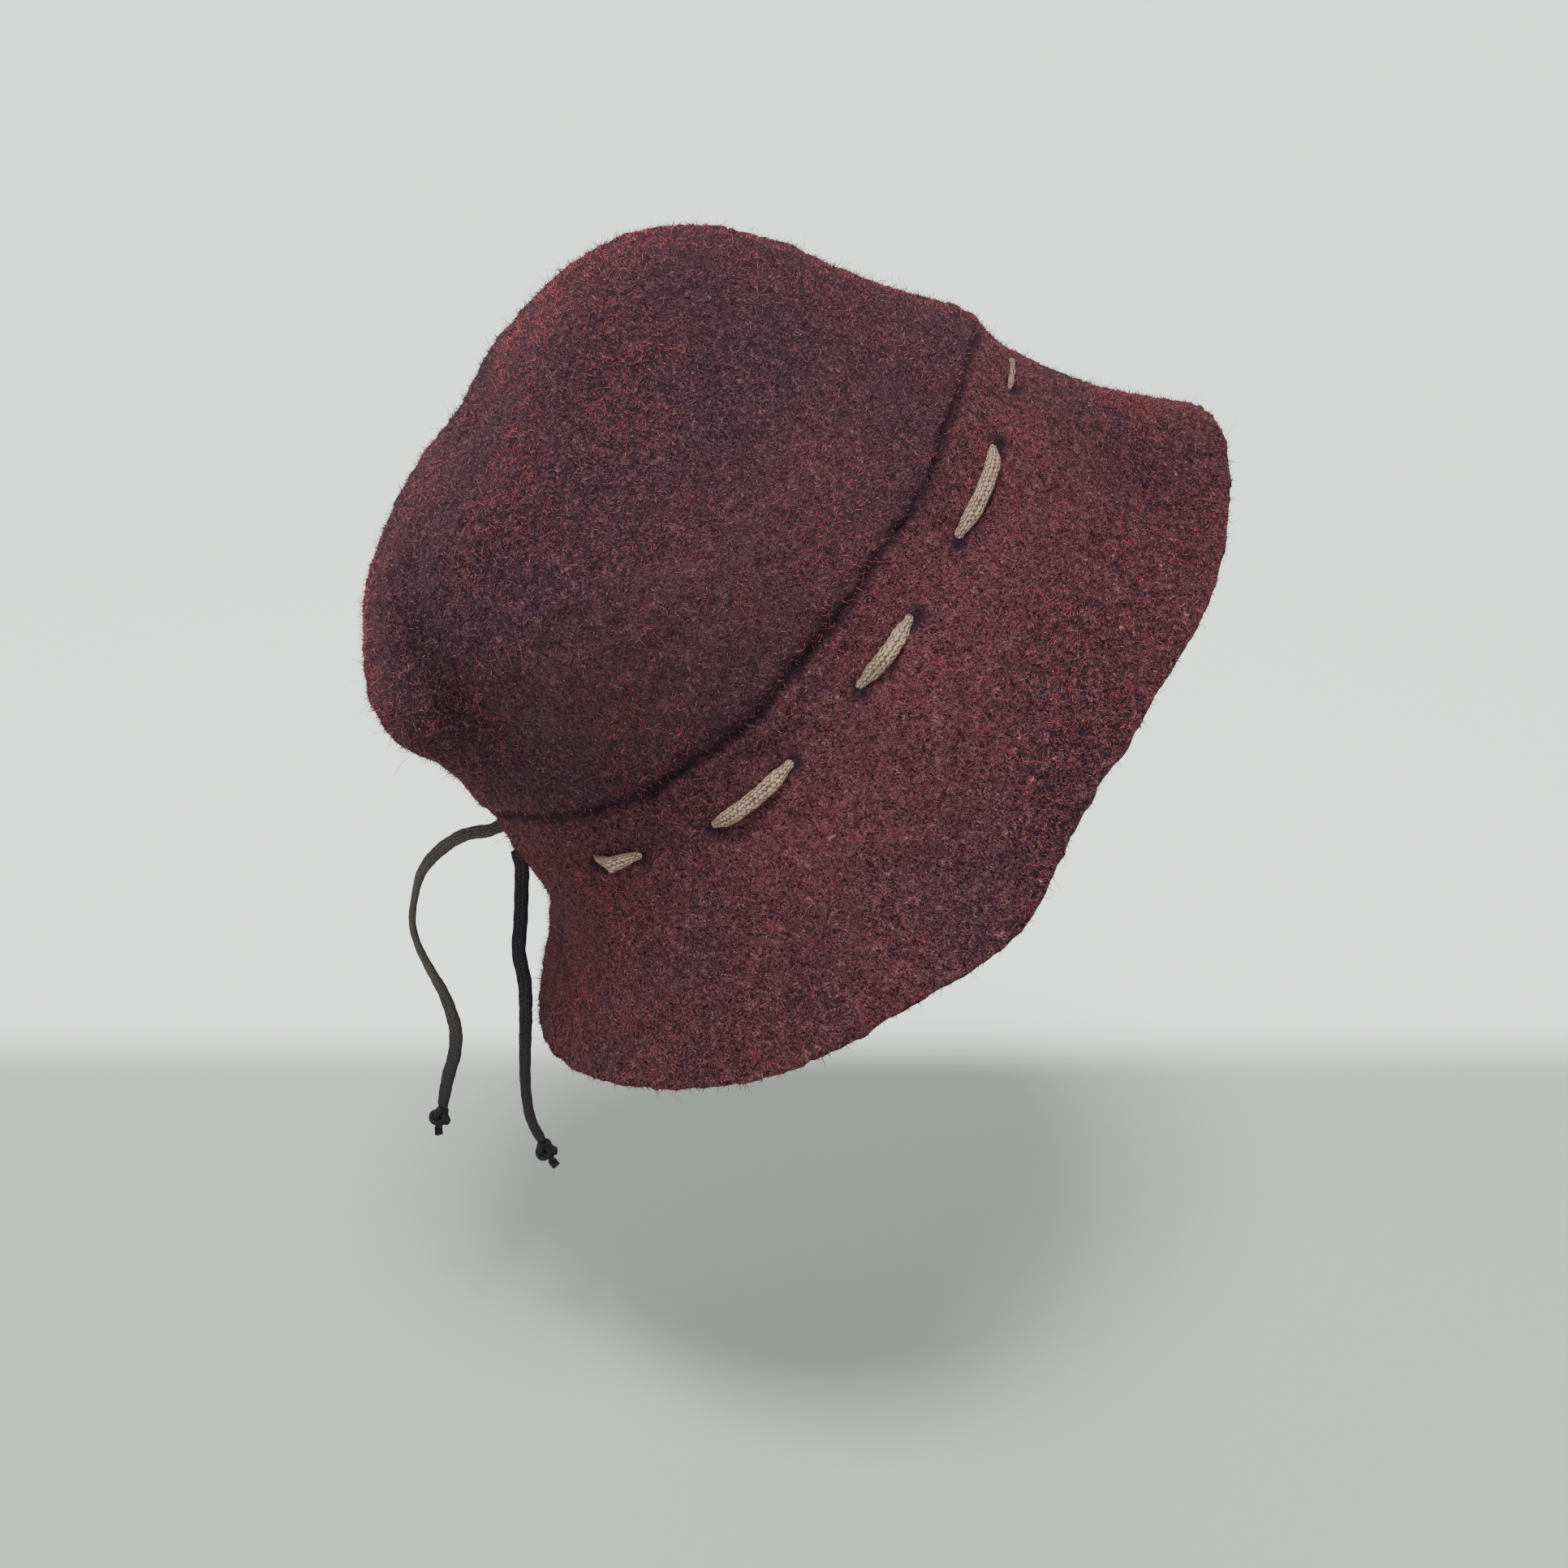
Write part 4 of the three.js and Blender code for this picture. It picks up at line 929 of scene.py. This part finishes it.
def grow_fibres(roots, normals, tangents, length, radius, lift, rings, rng):
    """Many thin curled fibres at once. Each starts just under the felt, leans between the tangent and the
    normal by its lift, and wavers off its line by two sines. Rings of three corners taper to a point."""
    count = len(roots)
    side = unit(np.cross(normals, tangents))
    lean = np.cos(lift)[:, None] * tangents + np.sin(lift)[:, None] * normals
    bow = unit(np.cross(lean, side))
    s = np.linspace(0, 1, rings + 1)
    phase = rng.uniform(0, 2 * np.pi, (count, 2, 1))
    pace = rng.uniform(*CURL_PACE, (count, 2, 1))
    sway = length[:, None] * rng.uniform(*CURL_SWAY, (count, 1))
    wave = (np.sin(pace * s + phase) - np.sin(phase)) * s[None, None, :] ** 0.5
    arch = length[:, None] * s ** 2 * rng.uniform(*CURL_ARCH, (count, 1))
    line = roots[:, None] - normals[:, None] * ROOT_DEPTH + lean[:, None] * (length[:, None] * s)[..., None]
    line = line + side[:, None] * (sway * wave[:, 0] + arch)[..., None]
    line = line + bow[:, None] * (sway * wave[:, 1])[..., None]
    turn = np.array([0, 2 * np.pi / 3, 4 * np.pi / 3])
    ring = side[:, None] * np.cos(turn)[None, :, None] + bow[:, None] * np.sin(turn)[None, :, None]
    thick = radius * (1 - FIBRE_TAPER * s[:rings])
    tubes = line[:, :rings, None] + ring[:, None] * thick[None, :, None, None]
    points = np.concatenate([tubes.reshape(count, 3 * rings, 3), line[:, rings:]], axis=1)
    last = 3 * rings
    quads = grid_quads(rings, 3, False).reshape(-1, 4)
    tip = [(last - 3, last - 2, last), (last - 2, last - 1, last), (last - 1, last - 3, last)]
    tris = np.array(tip + [(2, 1, 0)])
    first = (np.arange(count) * (last + 1))[:, None, None]
    return points.reshape(-1, 3), (quads[None] + first).reshape(-1, 4), (tris[None] + first).reshape(-1, 3)


def fuzz_mesh(name, skin, clear, counts, sizes, seed):
    """The fibres of a piece of felt in one object: short straight tips, curled ones and a few long
    hairs."""
    rng = np.random.default_rng(seed)
    points, quads, tris = [], [], []
    first = 0
    for part, stretch, thick, rings in FIBRE_KINDS:
        count = counts // part
        at, normals, tangents = scatter(skin, count, rng, clear)
        length = stretch * sizes.fibre_length / MM * rng.lognormal(0.0, FIBRE_SPREAD, count)
        lift = np.radians(rng.uniform(*FIBRE_LIFT, count))
        grown = grow_fibres(at, normals, tangents, length, thick * sizes.fibre_radius / MM, lift, rings, rng)
        points.append(grown[0])
        quads.append(grown[1] + first)
        tris.append(grown[2] + first)
        first += len(grown[0])
    return put_mesh(name, hat_to_world(np.vstack(points)), np.vstack(quads), np.vstack(tris))


def scatter(points, count, rng, keep=None):
    """Picks random spots on a grid that wraps round its columns, more where its cells are large and where
    more is kept. Gives the spots, the normals there, and random directions along the felt."""
    right = np.roll(points, -1, axis=1)[:-1]
    here, below = points[:-1], points[1:]
    area = np.linalg.norm(np.cross(right - here, below - here), axis=-1)
    if keep is not None:
        area = area * keep[:-1]
    spots = rng.choice(area.size, count, p=area.ravel() / area.sum())
    i, j = np.unravel_index(spots, area.shape)
    a, b = rng.uniform(0, 1, (2, count, 1))
    at = here[i, j] + (right - here)[i, j] * a + (below - here)[i, j] * b
    normals = face_normals(points)[i, j]
    return at, normals, square_to(rng.normal(size=(count, 3)), normals)


# Settings

def length_property(name, description, default, most):
    return FloatProperty(name=name, description=description, default=default, min=0.0, max=most,
                         unit="LENGTH", precision=6)


def count_property(name, description, default):
    return IntProperty(name=name, description=description, default=default, min=0, max=30000)


class FeltHatSizes(bpy.types.PropertyGroup):
    """Sizes that the solids leave open."""
    pebble_depth: length_property("Pebble depth", "How far the lumps of the felt stand out", 0.0012, 0.002)
    slit_pull: length_property("Pull at the slits", "How far the cord pulls the felt in", 0.0011, 0.003)
    fibre_length: length_property("Fibre length", "Usual length of a loose fibre", 0.0019, 0.008)
    fibre_radius: length_property("Fibre radius", "Radius of a loose fibre", 0.000085, 0.0003)
    crown_fibres: count_property("Fibres on the crown", "How many fibres the crown has", 29000)
    brim_fibres: count_property("Fibres on the brim", "How many fibres the brim has", 29000)


def colour_property(name, description, default):
    """A colour that the sidebar shows."""
    return FloatVectorProperty(name=name, description=description, subtype="COLOR", size=3, min=0.0, max=1.0,
                               default=default)


class FeltHatColours(bpy.types.PropertyGroup):
    """Colours of the wool, the cord and the studio."""
    plum: colour_property("Plum", "Darker patches of the wool", (0.07, 0.035, 0.061))
    madder: colour_property("Madder", "Redder patches of the wool", (0.155, 0.051, 0.066))
    rust: colour_property("Rust", "Reddest patches of the wool", (0.29, 0.055, 0.062))
    # The heather is also the crown's painted light on its bulges.
    heather_and_highlight: colour_property("Heather", "Fine light grain of the wool", (0.22, 0.095, 0.11))
    # Colours of the painted shade in the hollows and the painted light on the bulges.
    hollow_shade: colour_property("Hollows", "The wool in the hat's hollows", (0.03, 0.012, 0.026))
    bulge: colour_property("Bulges", "The wool where the hat stands out", (0.23, 0.068, 0.08))
    # Painted shade in the pits between the fibres.
    pit_shade: colour_property("Pits", "Dark pits between the fibres", (0.02, 0.009, 0.014))
    # The colour of the painted shade in the seam, under the crown's lip and beside the slits.
    groove: colour_property("Groove", "Dark of the seam and the slits", (0.03, 0.019, 0.033))
    pale_fibre: colour_property("Pale fibres", "Single pale fibres", (0.42, 0.18, 0.18))
    braid: colour_property("Braid", "The laced cord", (0.43, 0.285, 0.215))
    # Painted shade in the gaps between the cord's stitches.
    braid_gap_shade: colour_property("Braid gaps", "Between the stitches of the cord", (0.08, 0.047, 0.035))
    # The hanging cord is the laced cord in painted shade, deeper at the knot.
    tie: colour_property("Tie", "The hanging cord at the top", (0.11, 0.09, 0.078))
    deep_tie_shade: colour_property("Tie end", "The hanging cord at the knot", (0.03, 0.024, 0.03))
    wall: colour_property("Backdrop", "The wall behind the hat", (0.8, 0.85, 0.81))
    floor: colour_property("Floor", "The floor under the hat", (0.44, 0.46, 0.43))


# Operators

def matrix_of(x_axis, y_axis, z_axis, place):
    """The matrix that puts an object at a place, turned to three axes."""
    return Matrix(np.column_stack([x_axis, y_axis, z_axis, place]).tolist() + [[0, 0, 0, 1]])


class FELTHAT_OT_stage(bpy.types.Operator):
    """Sets up the pale floor and wall, the soft lights and the camera"""
    bl_idname = "felthat.stage"
    bl_label = "Stage"

    def execute(self, context):
        colours = context.scene.felthat_colours
        right, ahead, back = view_axes()
        up = np.cross(back, right)
        camera = bpy.data.objects.new("camera", bpy.data.cameras.new("camera"))
        camera.data.lens, camera.data.sensor_width = LENS, SENSOR
        camera.data.clip_start, camera.data.clip_end = 0.01, 50.0
        camera.matrix_world = matrix_of(right, up, back, EYE)
        context.scene.collection.objects.link(camera)
        context.scene.camera = camera

        # The floor runs back, turns up on a quarter circle and goes on as the wall.
        q = np.linspace(0, math.pi / 2, BEND_STEPS)
        bend = WALL_BEND - WALL_BEND * np.cos(q)
        y = np.concatenate([FLOOR_ROWS, WALL_NEAR + WALL_BEND * np.sin(q), [WALL_NEAR + WALL_BEND]])
        z = np.concatenate([np.zeros(len(FLOOR_ROWS)), bend, [WALL_HEIGHT]]) + FLOOR
        x = np.linspace(-WALL_SIDE, WALL_SIDE, 9)
        grid = x[None, :, None] * right + y[:, None, None] * ahead + z[:, None, None] * np.array((0, 0, 1.0))
        cloth = put_mesh("backdrop", grid.reshape(-1, 3), grid_quads(len(y), len(x), False, False))
        cloth.data.materials.append(backdrop_finish("pale_backdrop", colours, grain=90.0, depth=0.0003))

        for name, place, size, power, tint in LAMPS:
            light = bpy.data.lights.new(name, "AREA")
            light.size, light.energy, light.color = size, power, tint
            lamp = bpy.data.objects.new(name, light)
            away = unit(np.array(place, float))
            level = unit(np.cross((0.0, 0.0, 1.0), away))
            lamp.matrix_world = matrix_of(level, np.cross(away, level), away, place)
            context.scene.collection.objects.link(lamp)
        world = bpy.data.worlds.new("studio")
        world.use_nodes = True
        world.node_tree.nodes["Background"].inputs["Color"].default_value = WORLD_TINT
        world.node_tree.nodes["Background"].inputs["Strength"].default_value = WORLD_STRENGTH
        context.scene.world = world
        return {"FINISHED"}


class FELTHAT_OT_ties(bpy.types.Operator):
    """Hangs the two free ends of the cord, twisted on their way down, each with its knot"""
    bl_idname = "felthat.ties"
    bl_label = "Ties and Knots"

    def knot_line(self, route):
        """One turn of a trefoil, entered from the tie above and left by a short tail below. The curve is a
        sine and twice a double sine in the plane of the knot, and a triple sine through it."""
        way = unit(route[-1] - route[-2])
        start = route[-1] + way * TIE_GAP
        side = unit(np.cross(way, (0.0, 1.0, 0.0)))
        depth = np.cross(side, way)
        t = np.linspace(KNOT_FROM, KNOT_FROM + 2 * np.pi * KNOT_TURN, KNOT_POINTS)
        body = [np.sin(t) + 2 * np.sin(2 * t), -1.25 * np.sin(3 * t), np.cos(t) - 2 * np.cos(2 * t)]
        body = np.stack(body, axis=1) / 3 * (KNOT_WIDTH / 2 - KNOT_CORD_HALF) + (0, 0, KNOT_MIDDLE)
        local = np.vstack([KNOT_IN, body, KNOT_OUT])
        points = start + local[:, :1] * side + local[:, 1:2] * depth + local[:, 2:] * way
        centres, _, lengths = catmull_rom(points, KNOT_STEP)
        tangent = unit(np.gradient(centres, axis=0))
        normal = square_to(centres - (start + way * KNOT_MIDDLE) + depth * 0.6, tangent)
        return centres, normal, np.cross(tangent, normal), lengths

    def tie_line(self, points, twist):
        """The tie's middle from inside the felt to inside the knot. Its flat side faces the eye but for its
        twist."""
        start = points[0] - unit(points[1] - points[0]) * TIE_ROOT
        end = points[-1] + unit(points[-1] - points[-2]) * TIE_TIP
        centres, _, lengths = catmull_rom(np.vstack([start, points, end]), TIE_STEP)
        tangent = unit(np.gradient(centres, axis=0))
        flat = square_to(np.broadcast_to(view_axes()[2], tangent.shape), tangent)
        wide = np.cross(tangent, flat)
        turn = np.radians(np.interp(lengths / lengths[-1], twist[:, 0], twist[:, 1]))[:, None]
        normal = flat * np.cos(turn) + wide * np.sin(turn)
        return centres, normal, wide * np.cos(turn) - flat * np.sin(turn), lengths

    def braid(self, node, line, width, colour, ends):
        """Makes the cord in painted shade along a line, in place of a node."""
        flat, quads, caps, uv = cord_tube(*line, width)
        thing = put_mesh(node + "_braid", flat * MM, quads, caps, uv)
        shaded_gaps = tuple(part * GAP_SHARE for part in colour)
        finish_piece(thing, cord_finish(node + "_braid", tuple(colour), shaded_gaps, ends), [node])
        return thing

    def execute(self, context):
        colours = context.scene.felthat_colours
        # The ties and knots are painted in shade, the right tie in deeper shade all the way.
        for (word, points, twist, length), top_shade in zip(TIES, (colours.tie, colours.deep_tie_shade)):
            line = self.tie_line(points, twist)
            centres, lengths = line[0], line[3]
            tie = self.braid("tie_" + word, line, 1.0, top_shade, [(*TIE_DARKENS, tuple(colours.deep_tie_shade))])
            knot = self.braid("knot_" + word, self.knot_line(points), KNOT_CORD, colours.deep_tie_shade, [])
            path = centres[lengths < lengths[-1] - TIE_TIP]
            tuple(centres[0] * MM)
            (path * MM).tolist()
        return {"FINISHED"}


class FELTHAT_OT_drawcord(bpy.types.Operator):
    """Laces the flat cord in and out of the slits"""
    bl_idname = "felthat.drawcord"
    bl_label = "Drawcord"

    def execute(self, context):
        colours = context.scene.felthat_colours
        angle, offset, sink = lace_route().T
        down = (LACE_DROP * around("lace", angle) + sink) / brim_height(angle)
        offset = offset - np.where(offset > 0, pressed(angle, FRONT_PRESS + FRONT_SINK), 0)
        points = brim_point(angle, down, 0.0, 0.0) + brim_normal(angle, down) * offset[:, None]
        centres, share, lengths = catmull_rom(points, LACE_STEP)
        at = np.interp(share, np.arange(len(angle)), angle)
        tangent = unit(np.gradient(centres, axis=0))
        wide = unit(np.cross(tangent, brim_normal(at, lace_place(at))))
        normal = np.cross(wide, tangent)
        inner_slits = SLIT_ANGLES[1:-1]
        gap = turn_between(at[:, None], inner_slits) * band_millimetres(inner_slits)
        width = 1 - SQUEEZE * bell(gap, SQUEEZE_REACH).max(axis=1)
        width = width * (1 - FRONT_NARROW * turn_bell(at, FRONT_MIDDLE, FRONT_REACH))
        flat, quads, caps, uv = cord_tube(centres, normal, wide, lengths, width)
        cord = put_mesh("drawcord_braid", hat_to_world(flat), quads, caps, uv)
        # The laced cord's ends take on the ties' painted shade.
        start, width = LACE_END
        ends = [(*LACE_START, tuple(colours.tie)), (lengths[-1] + start, width, tuple(colours.deep_tie_shade))]
        shade = cord_finish("laced_braid", tuple(colours.braid), tuple(colours.braid_gap_shade), ends)
        finish_piece(cord, shade, ["drawcord"])
        return {"FINISHED"}


class FELTHAT_OT_crown(bpy.types.Operator):
    """Makes the crown's felt and its loose fibres"""
    bl_idname = "felthat.crown"
    bl_label = "Crown"

    def execute(self, context):
        colours, sizes = context.scene.felthat_colours, context.scene.felthat_sizes
        outer, inner, shade, tone = crown_faces(sizes)
        columns = outer.shape[1]
        rings = np.concatenate([inner[::-1], outer])
        count = len(rings) * columns
        poles = [crown_point(np.array([0.0]), np.array([len(CROWN_ROWS) - 1.0]), wall, 0.0)[0]
                 for wall in (FELT_WALL, 0.0)]
        ring = np.arange(columns)
        last = (len(rings) - 1) * columns
        after = np.roll(ring, -1)
        caps = np.concatenate([np.stack([np.full(columns, count), after, ring], axis=-1),
                               np.stack([np.full(columns, count + 1), last + ring, last + after], axis=-1)])
        points = np.vstack([rings.reshape(-1, 3), poles])
        # The outer face's painted shade, and its painted light and shade; the inner face has neither.
        tints = {key: np.append(np.concatenate([np.zeros(inner.shape[:2]), values]).ravel(), (0.0, 0.0))
                 for key, values in (("painted_shade", shade), ("tone", tone))}
        quads = grid_quads(len(rings), columns, False)
        felt = put_mesh("crown_felt", hat_to_world(points), quads, caps, tints=tints)
        # The crown's painted light on its bulges has the heather's colour.
        wool = wool_finish("crown_wool", colours, colours.heather_and_highlight, madder_share=0.02, coarse=1.05)
        finish_piece(felt, wool, ["crown"])

        fuzz = fuzz_mesh("crown_fibres", outer, None, sizes.crown_fibres, sizes, seed=11)
        finish_piece(fuzz, fibre_finish("crown_fibres", colours))
        return {"FINISHED"}


class FELTHAT_OT_brim(bpy.types.Operator):
    """Makes the felt of the band and brim with its slits, and its loose fibres"""
    bl_idname = "felthat.brim"
    bl_label = "Band and Brim"

    def execute(self, context):
        colours, sizes = context.scene.felthat_colours, context.scene.felthat_sizes
        outer, inner, shade, tone, holes = brim_faces(sizes)
        columns = outer.shape[1]
        half = (outer[-1] - inner[-1]) / 2
        way = unit(outer[-1] - outer[-3])
        q = np.radians(EDGE_TURNS)[:, None, None]
        fray = EDGE_ROUND + noises(outer[-1], FRAY)[:, None]
        edge = (outer[-1] + inner[-1]) / 2 + half * np.cos(q) + way * fray * np.sin(q)
        rings = np.concatenate([outer, edge, inner[::-1]])
        total = len(rings)
        quads = grid_quads(total, columns, True)
        keep = np.ones(quads.shape[:2], bool)
        walls = []
        across, below = HOLE_COLUMNS, ROWS_ABOVE + ROWS_ACROSS
        # The rows and columns round a slit, which its walls join from the outer face to the inner one.
        r = np.concatenate([np.full(across, 0), np.arange(ROWS_ACROSS), np.full(across, ROWS_ACROSS),
                            np.arange(ROWS_ACROSS, 0, -1)]) + ROWS_ABOVE
        c = np.concatenate([np.arange(across), np.full(ROWS_ACROSS, across), np.arange(across, 0, -1),
                            np.full(ROWS_ACROSS, 0)])
        for first in holes:
            keep[ROWS_ABOVE:below, first:first + across] = False
            keep[total - 1 - below:total - 1 - ROWS_ABOVE, first:first + across] = False
            out, back = r * columns + c + first, (total - 1 - r) * columns + c + first
            walls.append(np.stack([out, np.roll(out, -1), np.roll(back, -1), back], axis=-1))
        plain = np.zeros((len(EDGE_TURNS), columns))
        # Painted shade on both faces, weaker on the inner one; painted light and shade on the outer face
        # only.
        tints = {"painted_shade": np.concatenate([shade, plain, shade[::-1] * INNER_DARKNESS]).ravel(),
                 "tone": np.concatenate([tone, plain, np.zeros_like(tone)]).ravel()}
        quads = np.vstack([quads[keep], *walls])
        felt = put_mesh("brim_felt", hat_to_world(rings.reshape(-1, 3)), quads, tints=tints)
        wool = wool_finish("brim_wool", colours, colours.bulge, madder_share=0.19, coarse=1.6)
        finish_piece(felt, wool, ["brim"])

        skin = np.concatenate([outer, edge[:2]])
        clear = np.concatenate([1 - np.clip(shade * FUZZ_THINS, 0, 1), np.full((2, columns), EDGE_FUZZ)])
        fuzz = fuzz_mesh("brim_fibres", skin, clear, sizes.brim_fibres, sizes, seed=23)
        finish_piece(fuzz, fibre_finish("brim_fibres", colours))
        return {"FINISHED"}


class FELTHAT_PT_panel(bpy.types.Panel):
    """Lists the hat's sizes, colours and pieces"""
    bl_idname = "FELTHAT_PT_panel"
    bl_label = "Felt Hat"
    bl_space_type = "VIEW_3D"
    bl_region_type = "UI"
    bl_category = "Felt Hat"

    def draw(self, context):
        for group in (context.scene.felthat_sizes, context.scene.felthat_colours):
            box = self.layout.box()
            for key in group.__annotations__:
                box.prop(group, key)
        for operator in OPERATORS:
            self.layout.operator(operator.bl_idname)


OPERATORS = (FELTHAT_OT_stage, FELTHAT_OT_ties, FELTHAT_OT_drawcord, FELTHAT_OT_crown, FELTHAT_OT_brim)
CLASSES = (FeltHatSizes, FeltHatColours, *OPERATORS, FELTHAT_PT_panel)


def register():
    for item in CLASSES:
        bpy.utils.register_class(item)
    bpy.types.Scene.felthat_sizes = PointerProperty(type=FeltHatSizes)
    bpy.types.Scene.felthat_colours = PointerProperty(type=FeltHatColours)


def unregister():
    del bpy.types.Scene.felthat_colours
    del bpy.types.Scene.felthat_sizes
    for item in reversed(CLASSES):
        bpy.utils.unregister_class(item)


def main():
    register()
    bpy.ops.felthat.stage()
    bpy.ops.felthat.ties()
    bpy.ops.felthat.drawcord()
    bpy.ops.felthat.crown()
    bpy.ops.felthat.brim()


if __name__ == "__main__":
    main()
